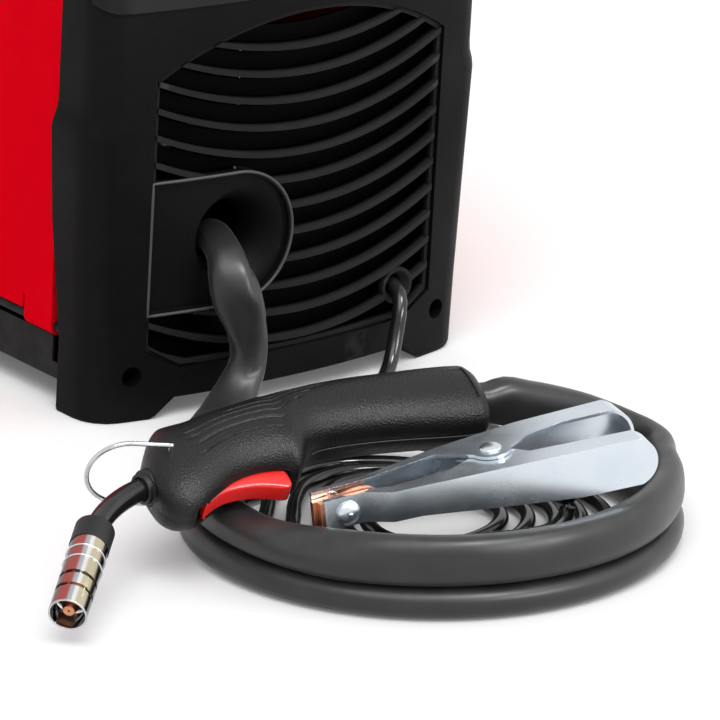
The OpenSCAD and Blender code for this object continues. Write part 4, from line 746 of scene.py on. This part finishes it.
def handleShell(side):
    marks = set(range(0, 181, handle["angleStep"]))
    rows = handleRows()
    if side > 0:
        label = handle["label"]
        for a, *run in handle["grooves"]:
            marks |= {a - handle["grooveHalf"], a, a + handle["grooveHalf"]}
        marks |= {label["low"], label["low"] + label["edgeTurn"], label["high"], label["high"] - label["edgeTurn"]}
        for u in (label["from"], label["from"] + label["edge"], label["to"] - label["edge"], label["to"]):
            i = next(k for k, r in enumerate(rows) if r[0] > u)
            t = (u - rows[i - 1][0]) / (rows[i][0] - rows[i - 1][0])
            rows.insert(i, [a + (b - a) * t for a, b in zip(rows[i - 1], rows[i])])
    rings = []
    for u, mid, depth, thick in rows:
        ring = []
        for a in sorted(marks):
            c, s = cos(radians(a)), sin(radians(a))
            v = mid + side * depth * math.copysign(abs(c) ** handle["blunt"], c)
            n = side * thick * abs(s) ** handle["blunt"]
            cut = handleCut(u, a) if side > 0 else 0.0
            if a in (0, 180):
                v -= side * math.copysign(handle["seam"], c)
            ring.append(inTorch(u, v - side * cut * c, n - side * cut * s))
        rings.append(ring)
    return makeTube("handleShellUpper" if side > 0 else "handleShellLower", rings)


def cutAway(obj, tools):
    for tool in tools:
        cut = obj.modifiers.new("cut", "BOOLEAN")
        cut.operation = "DIFFERENCE"
        cut.object = tool
        cut.solver = "EXACT"
    shape = bpy.data.meshes.new_from_object(obj.evaluated_get(bpy.context.evaluated_depsgraph_get()))
    obj.modifiers.clear()
    obj.data = shape


def torchBox(u0, u1, v0, v1, n):
    corners = [inTorch(u, v, w) for w in (-n, n) for u, v in ((u0, v0), (u1, v0), (u1, v1), (u0, v1))]
    return makeTube("cutter", [corners[:4], corners[4:]], smooth=False)


def torchRod(u0, u1, v, r, lean=0.0, at=0.0):
    axis = torchFrame.to_3x3() @ Vector((cos(lean), sin(lean), 0)) * 1000
    start = torchFrame.to_3x3() @ Vector((0, 0, 1)) * 1000
    rings = lathe([(u0 / 1000, r / 1000), (u1 / 1000, r / 1000)], 40, inTorch(at, v), axis, start)
    return makeTube("cutter", rings, smooth=False)


# room in the shells for the trigger, the cable, the neck's collar and the neck
neckLean = radians(neck["lean"])
cutters = [torchBox(109.6, 161.6, 12, 62, 5.4), torchRod(-20, 9, -4.5, 10.1),
           torchRod(1.6, 20, neck["v"], 8.7, neckLean, neck["u"]),
           torchRod(-30, 5, neck["v"], 5.3, neckLean, neck["u"])]
for side, node in ((1, "handle_upper"), (-1, "handle_lower")):
    shell = handleShell(side)
    cutAway(shell, cutters)
    for f in shell.data.polygons:
        f.use_smooth = True
    split = shell.modifiers.new("crispEdges", "EDGE_SPLIT")
    split.split_angle = radians(handle["crispAngle"])
    finishPiece(shell, "case", "black_plastic", node, finish="handle")
for tool in cutters:
    bpy.data.objects.remove(tool)

# a thin bead along the shells' seam: a real seam, made in lighter plastic as a painted highlight along the edge
bead = handle["bead"]
rows = [[*inTorch(u, mid + depth - bead["sunk"], 0), 0, 0.1, 1, bead["half"], bead["half"]]
        for u, mid, depth, thick in handleRows() if bead["from"] < u < bead["to"]]
seamHighlightBead = makeTube("seamHighlightBead", sweepRings(rows, 8, roundSection))
finishPiece(seamHighlightBead, "case", "black_plastic", finish="rim")
print("torch handle")

# trigger
trigger = {
    "outline": [
        (156.6, 42.4), (153, 40), (148.5, 37.3), (144, 35.3), (139, 34.2), (133, 33.8), (127.5, 34.1),
        (121, 35.4), (115, 37.2), (112.6, 37), (111, 35), (111, 27), (115, 21.5), (128, 18.5), (142, 22), (152, 29),
        (156.6, 37)],
    "half": 4.8, "round": 1.7, "roundSteps": 6, "step": 1.2,
}


def triggerLever():
    line = [list(p) for p in trigger["outline"]]
    line = easeRows(line + [line[0]], trigger["step"], 2)[:-1]
    n = len(line)
    outward = []
    for i in range(n):
        a, b = line[i - 1], line[(i + 1) % n]
        t = Vector((b[0] - a[0], b[1] - a[1])).normalized()
        outward.append(Vector((t.y, -t.x)))
    rings = []
    count = trigger["roundSteps"]
    flat = trigger["half"] - trigger["round"]
    for start, flank in ((-90, -flat), (0, flat)):
        for k in range(count):
            a = radians(start + 90 / (count - 1) * k)
            w = flank + trigger["round"] * sin(a)
            inset = trigger["round"] * (1 - cos(a))
            rings.append([inTorch(p[0] - o.x * inset, p[1] - o.y * inset, w) for p, o in zip(line, outward)])
    return makeTube("triggerLever", rings)


finishPiece(triggerLever(), "trigger_lever", "trigger_red", "trigger")
print("trigger")

# earth clamp: its frame has its origin at the pivot's top and its jaws toward minus X, in millimetres
clamp = {"place": (-0.075, -0.456, 0.060), "yaw": -16.4, "pitch": -9}
clampFrame = (Matrix.Translation(clamp["place"]) @ Matrix.Rotation(radians(clamp["yaw"]), 4, "Z")
              @ Matrix.Rotation(radians(clamp["pitch"]), 4, "Y") @ Matrix.Scale(0.001, 4))


def inClamp(rings):
    return [[clampFrame @ p for p in ring] for ring in rings]


spring = {"turns": 4, "radius": 7, "wire": 0.9, "rise": 11.6, "bottom": -17.2, "from": -120, "perTurn": 8,
          "legs": [(-13, -9, -14), (-13, 8, -5.6)]}
points = []
springSteps = spring["perTurn"] * spring["turns"]
for i in range(springSteps + 1):
    a = radians(spring["from"] + i * 360 / spring["perTurn"])
    points.append((spring["radius"] * cos(a), spring["radius"] * sin(a),
                   spring["bottom"] + spring["rise"] * i / springSteps))
points = [spring["legs"][0], *points, spring["legs"][1]]
rows = [[*(clampFrame @ Vector(p)), 0, 0.1, 1, spring["wire"] / 1000, spring["wire"] / 1000] for p in points]
rings = sweepRings(easeRows(rows, 0.0008), 12, roundSection)
finishPiece(makeTube("clampSpringCoil", rings), "case", "steel", "clamp_spring")
print("clamp spring")

# rivets of the clamp: place in the clamp's frame, axis, head radius, dome height
rivets = {
    "jawRivetFront": ((-73.6, -8.2, -9.8), (0, -1, 0), 5.6, 2.4, "case"),
    "jawRivetRear": ((-78, 3.4, -5.6), (0, 1, 0), 4.4, 3.4, "clamp_jaw"),
}


def domeProfile(foot, way, rise, radius, blunt, angles):
    # points of a dome: height along the rivet, and distance from its axis
    return [(foot + way * rise * sin(radians(a)), max(0.01, radius * cos(radians(a)) ** blunt))
            for a in angles]


def domeRivet(name, place, axis, radius, rise, shank=1.0):
    profile = [(-shank, radius * 0.6), (-shank, radius * 0.98)]
    for k in range(9):
        a = radians(10 + k * 10)
        profile.append((rise * sin(a) ** 1.2, radius * cos(a) ** 0.8))
    profile.append((rise, 0.01))
    return makeTube(name, inClamp(lathe(profile, 28, place, axis, (1, 0, 0))))


for name, (place, axis, radius, rise, body) in rivets.items():
    finishPiece(domeRivet(name, place, axis, radius, rise), body, "zinc")

pivot = {"shank": 3, "head": 5.2, "rise": 1.7, "blunt": 0.7, "top": 0.1, "bottom": -26.1}
profile = domeProfile(pivot["bottom"], -1, pivot["rise"], pivot["head"], pivot["blunt"], range(90, 0, -10))
profile += [(pivot["bottom"], pivot["head"]), (pivot["bottom"], pivot["shank"]), (pivot["top"], pivot["shank"]),
            (pivot["top"], pivot["head"])]
profile += domeProfile(pivot["top"], 1, pivot["rise"], pivot["head"], pivot["blunt"], range(10, 91, 10))
pivotRivet = makeTube("pivotRivet", inClamp(lathe(profile, 32, (0, 0, 0), (0, 0, 1), (1, 0, 0))))
finishPiece(pivotRivet, "case", "zinc", "clamp_pivot")
print("clamp rivets")

# painted shade: a near-black disc behind the outlet's throat stands in for the shade inside it, in metres
shadeDisc = {"place": (-0.041, -0.2085, 0.0855), "radius": 0.0149, "thick": 0.001}
profile = [(0, 0.0001), (0, shadeDisc["radius"]), (shadeDisc["thick"], shadeDisc["radius"]), (shadeDisc["thick"], 0.0001)]
rings = lathe(profile, 40, shadeDisc["place"], (0, -1, 0), (1, 0, 0))
finishPiece(makeTube("throatShadeDisc", rings), "case", "black_plastic", finish="throatShade")

# bead round the outlet plate, in lighter plastic as a painted highlight along the plate's edge, in millimetres; the
# plate is bowed round an upright axis
outlet = {"x": -41, "z": 85.5, "r": 33, "left": -87.2, "bow": 465, "sunk": 0.3, "axisY": 235, "bead": 0.75}


def outletLine():
    x, z, r, left = outlet["x"], outlet["z"], outlet["r"], outlet["left"]
    line = [(left, z + r * t / 8) for t in range(0, 9)]
    line += [(left + (x - left) * t / 12, z + r) for t in range(1, 12)]
    line += [(x + r * sin(radians(a)), z + r * cos(radians(a))) for a in range(0, 181, 4)]
    line += [(x - (x - left) * t / 12, z - r) for t in range(1, 13)]
    return line + [(left, z - r * t / 8) for t in range(7, 0, -1)]


rows = []
for x, z in outletLine():
    y = outlet["axisY"] - math.sqrt((outlet["bow"] - outlet["sunk"]) ** 2 - x * x)
    rows.append([x / 1000, y / 1000, z / 1000, 0, 1, 0.01, outlet["bead"] / 1000, outlet["bead"] / 1000])
rimBead = makeTube("rimBead", sweepRings(rows, 10, roundSection), closed=True)
finishPiece(rimBead, "case", "black_plastic", finish="rim")

# bright rings round the gas nozzle: place along it and radius
nozzleRings = {"at": [(7, 8.75), (14, 8.75), (44.7, 8.25)], "from": 9, "half": 0.5}
for k, (h, middle) in enumerate(nozzleRings["at"]):
    half = nozzleRings["half"]
    profile = [(half * cos(a), middle + half * sin(a)) for a in (n * pi / 5 for n in range(10))]
    rings = lathe([(nozzleRings["from"] + h + x, r) for x, r in profile], 48, (0, 0, 0), (0, 0, 1), (1, 0, 0))
    ring = makeTube(f"nozzleRing{k + 1}", [[neckEnd @ p for p in ring] for ring in rings], closed=True)
    finishPiece(ring, "case", "steel")
print("outlet and nozzle details")

# wire wound on the spool, in metres
winding = {"wires": 44, "pointsPerWire": 4, "bulge": 0.00045, "sunk": 2.2, "core": 0.55}


def woundWire():
    low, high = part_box("wire_winding")
    middle = (low + high) / 2
    outer = (high.z - low.z) / 2
    across = high.x - low.x
    steps = winding["wires"] * winding["pointsPerWire"]
    profile = [(0.0, outer * winding["core"])]
    for i in range(steps + 1):
        h = across * i / steps
        wave = abs(sin(pi * winding["wires"] * h / across))
        profile.append((h, outer - winding["bulge"] * (winding["sunk"] - wave)))
    profile.append((across, outer * winding["core"]))
    rings = lathe(profile, 96, (low.x, middle.y, middle.z), (1, 0, 0), (0, 1, 0))
    return makeTube("woundWire", rings, closed=True)


finishPiece(woundWire(), "spool", "wire", "wire_winding")
print("winding")

# plain figures in the display window, in metres and degrees
readout = {"figures": "120 48", "high": 0.0125, "wide": 0.0062, "stroke": 0.0012, "step": 0.009, "tilt": 10,
           "lens": 0.0019, "proud": 0.0001, "slant": 0.1}


def barOutline(a, b):
    # a flat bar with pointed ends from one corner of a figure to another
    tip = (b - a).normalized() * readout["stroke"] / 2
    side = Vector((-tip.y, tip.x))
    return [a + tip * 0.2, a + tip * 1.2 + side, b - tip * 1.2 + side, b - tip * 0.2,
            b - tip * 1.2 - side, a + tip * 1.2 - side]


def litReadout():
    # bars of a figure, from and to, in shares of its width and height
    bars = {"a": (0, 1, 1, 1), "b": (1, 1, 1, 0.5), "c": (1, 0.5, 1, 0), "d": (0, 0, 1, 0), "e": (0, 0, 0, 0.5),
            "f": (0, 0.5, 0, 1), "g": (0, 0.5, 1, 0.5)}
    lit = {"0": "abcdef", "1": "bc", "2": "abged", "4": "fgbc", "8": "abcdefg", " ": ""}
    low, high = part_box("display_lens")
    lean = radians(readout["tilt"])
    out, up = Vector((0, -cos(lean), sin(lean))), Vector((0, sin(lean), cos(lean)))
    face = (Vector(low) + Vector(high)) / 2 + out * readout["lens"] / 2
    wide, tall = readout["wide"], readout["high"]
    verts, faces = [], []
    for i, figure in enumerate(readout["figures"]):
        start = (i - (len(readout["figures"]) - 1) / 2) * readout["step"] - wide / 2
        for x0, z0, x1, z1 in (bars[bar] for bar in lit[figure]):
            outline = barOutline(Vector((start + x0 * wide, (z0 - 0.5) * tall)),
                                 Vector((start + x1 * wide, (z1 - 0.5) * tall)))
            first, count = len(verts), len(outline)
            for depth in (-readout["proud"], readout["proud"]):
                verts += [face + Vector((flat.x + readout["slant"] * flat.y, 0, 0)) + up * flat.y + out * depth
                          for flat in outline]
            sides = stackRings([range(count)] * 2)[1]
            faces += [[first + k for k in side] for side in sides]
    return makePiece("litFigures", verts, faces, smooth=False)


finishPiece(litReadout(), "case", "display", finish="segments")
print("readout")

# floor and light: softboxes are a power, a size, a direction and a distance; suns a strength, a width and an aim
studio = {
    "floor": 0.93, "floorRough": 0.9, "floorHalf": 15, "floorZ": -0.0002, "floorLift": 0.1,
    "softboxAim": (0, -0.25, 0.12),
    "softboxes": {
        "frontSoftbox": (28, (0.9, 0.5), (0.235, -0.9, 0.38), 2.4),
        "upperSoftbox": (36, (0.5, 0.5), (0.08, -0.55, 0.75), 2.4),
    },
    "suns": {"keySun": (1.5, 40, (0.45, 0.5, -1.0)), "fillSun": (0.5, 60, (-0.8, 0.7, -0.5))},
    "sky": 0.66, "skyLow": 0.35, "skyHigh": 1.15, "backdrop": 1.0,
}


def backdropRays(tree):
    # the camera, metal and glass see the white backdrop
    rays = put(tree, "ShaderNodeLightPath").outputs
    mirrored = maths(tree, "MAXIMUM", rays["Is Camera Ray"], rays["Is Glossy Ray"])
    return maths(tree, "MAXIMUM", mirrored, rays["Is Transmission Ray"])


def layFloor():
    half, z = studio["floorHalf"], studio["floorZ"]
    corners = [(-half, -half, z), (half, -half, z), (half, half, z), (-half, half, z)]
    mesh = bpy.data.meshes.new("studioFloor")
    mesh.from_pydata(corners, [], [(0, 1, 2, 3)])
    floor = bpy.data.objects.new("studioFloor", mesh)
    bpy.context.scene.collection.objects.link(floor)
    mat, tree, shader = newFinish("paleFloor", (studio["floor"],) * 3, studio["floorRough"], specular=0.1)
    shader.inputs["Emission Color"].default_value = (1, 1, 1, 1)
    lift = maths(tree, "MULTIPLY", backdropRays(tree), studio["floorLift"])
    tree.links.new(lift, shader.inputs["Emission Strength"])
    mesh.materials.append(mat)


def addLamp(name, kind, strength, aim):
    data = bpy.data.lights.new(name, kind)
    data.energy = strength
    lamp = bpy.data.objects.new(name, data)
    bpy.context.scene.collection.objects.link(lamp)
    lamp.rotation_mode = "QUATERNION"
    lamp.rotation_quaternion = aim.to_track_quat("-Z", "Y")
    return lamp


def skyShade(tree, strength):
    shade = put(tree, "ShaderNodeBackground")
    shade.inputs["Color"].default_value = (1, 1, 1, 1)
    feed(tree, strength, shade.inputs["Strength"])
    return shade.outputs[0]


layFloor()
for name, (power, size, toward, distance) in studio["softboxes"].items():
    way = Vector(toward).normalized()
    lamp = addLamp(name, "AREA", power, -way)
    lamp.data.shape = "RECTANGLE"
    lamp.data.size, lamp.data.size_y = size
    lamp.location = Vector(studio["softboxAim"]) + way * distance
    lamp.visible_diffuse = False  # only in reflections, so that the shadows stay soft
for name, (strength, width, aim) in studio["suns"].items():
    addLamp(name, "SUN", strength, Vector(aim)).data.angle = radians(width)

world = bpy.context.scene.world or bpy.data.worlds.new("studioWorld")
bpy.context.scene.world = world
world.use_nodes = True
sky = world.node_tree
sky.nodes.clear()
upward = axesOf(sky, put(sky, "ShaderNodeTexCoord").outputs["Generated"])["Z"]
level = spread(sky, upward, -0.1, 0.75, studio["skyLow"], studio["skyHigh"])
both = put(sky, "ShaderNodeMixShader")
sky.links.new(backdropRays(sky), both.inputs[0])
sky.links.new(skyShade(sky, maths(sky, "MULTIPLY", level, studio["sky"])), both.inputs[1])
sky.links.new(skyShade(sky, studio["backdrop"]), both.inputs[2])
sky.links.new(both.outputs[0], put(sky, "ShaderNodeOutputWorld").inputs[0])
bpy.context.scene.view_settings.view_transform = "Standard"
print("studio")
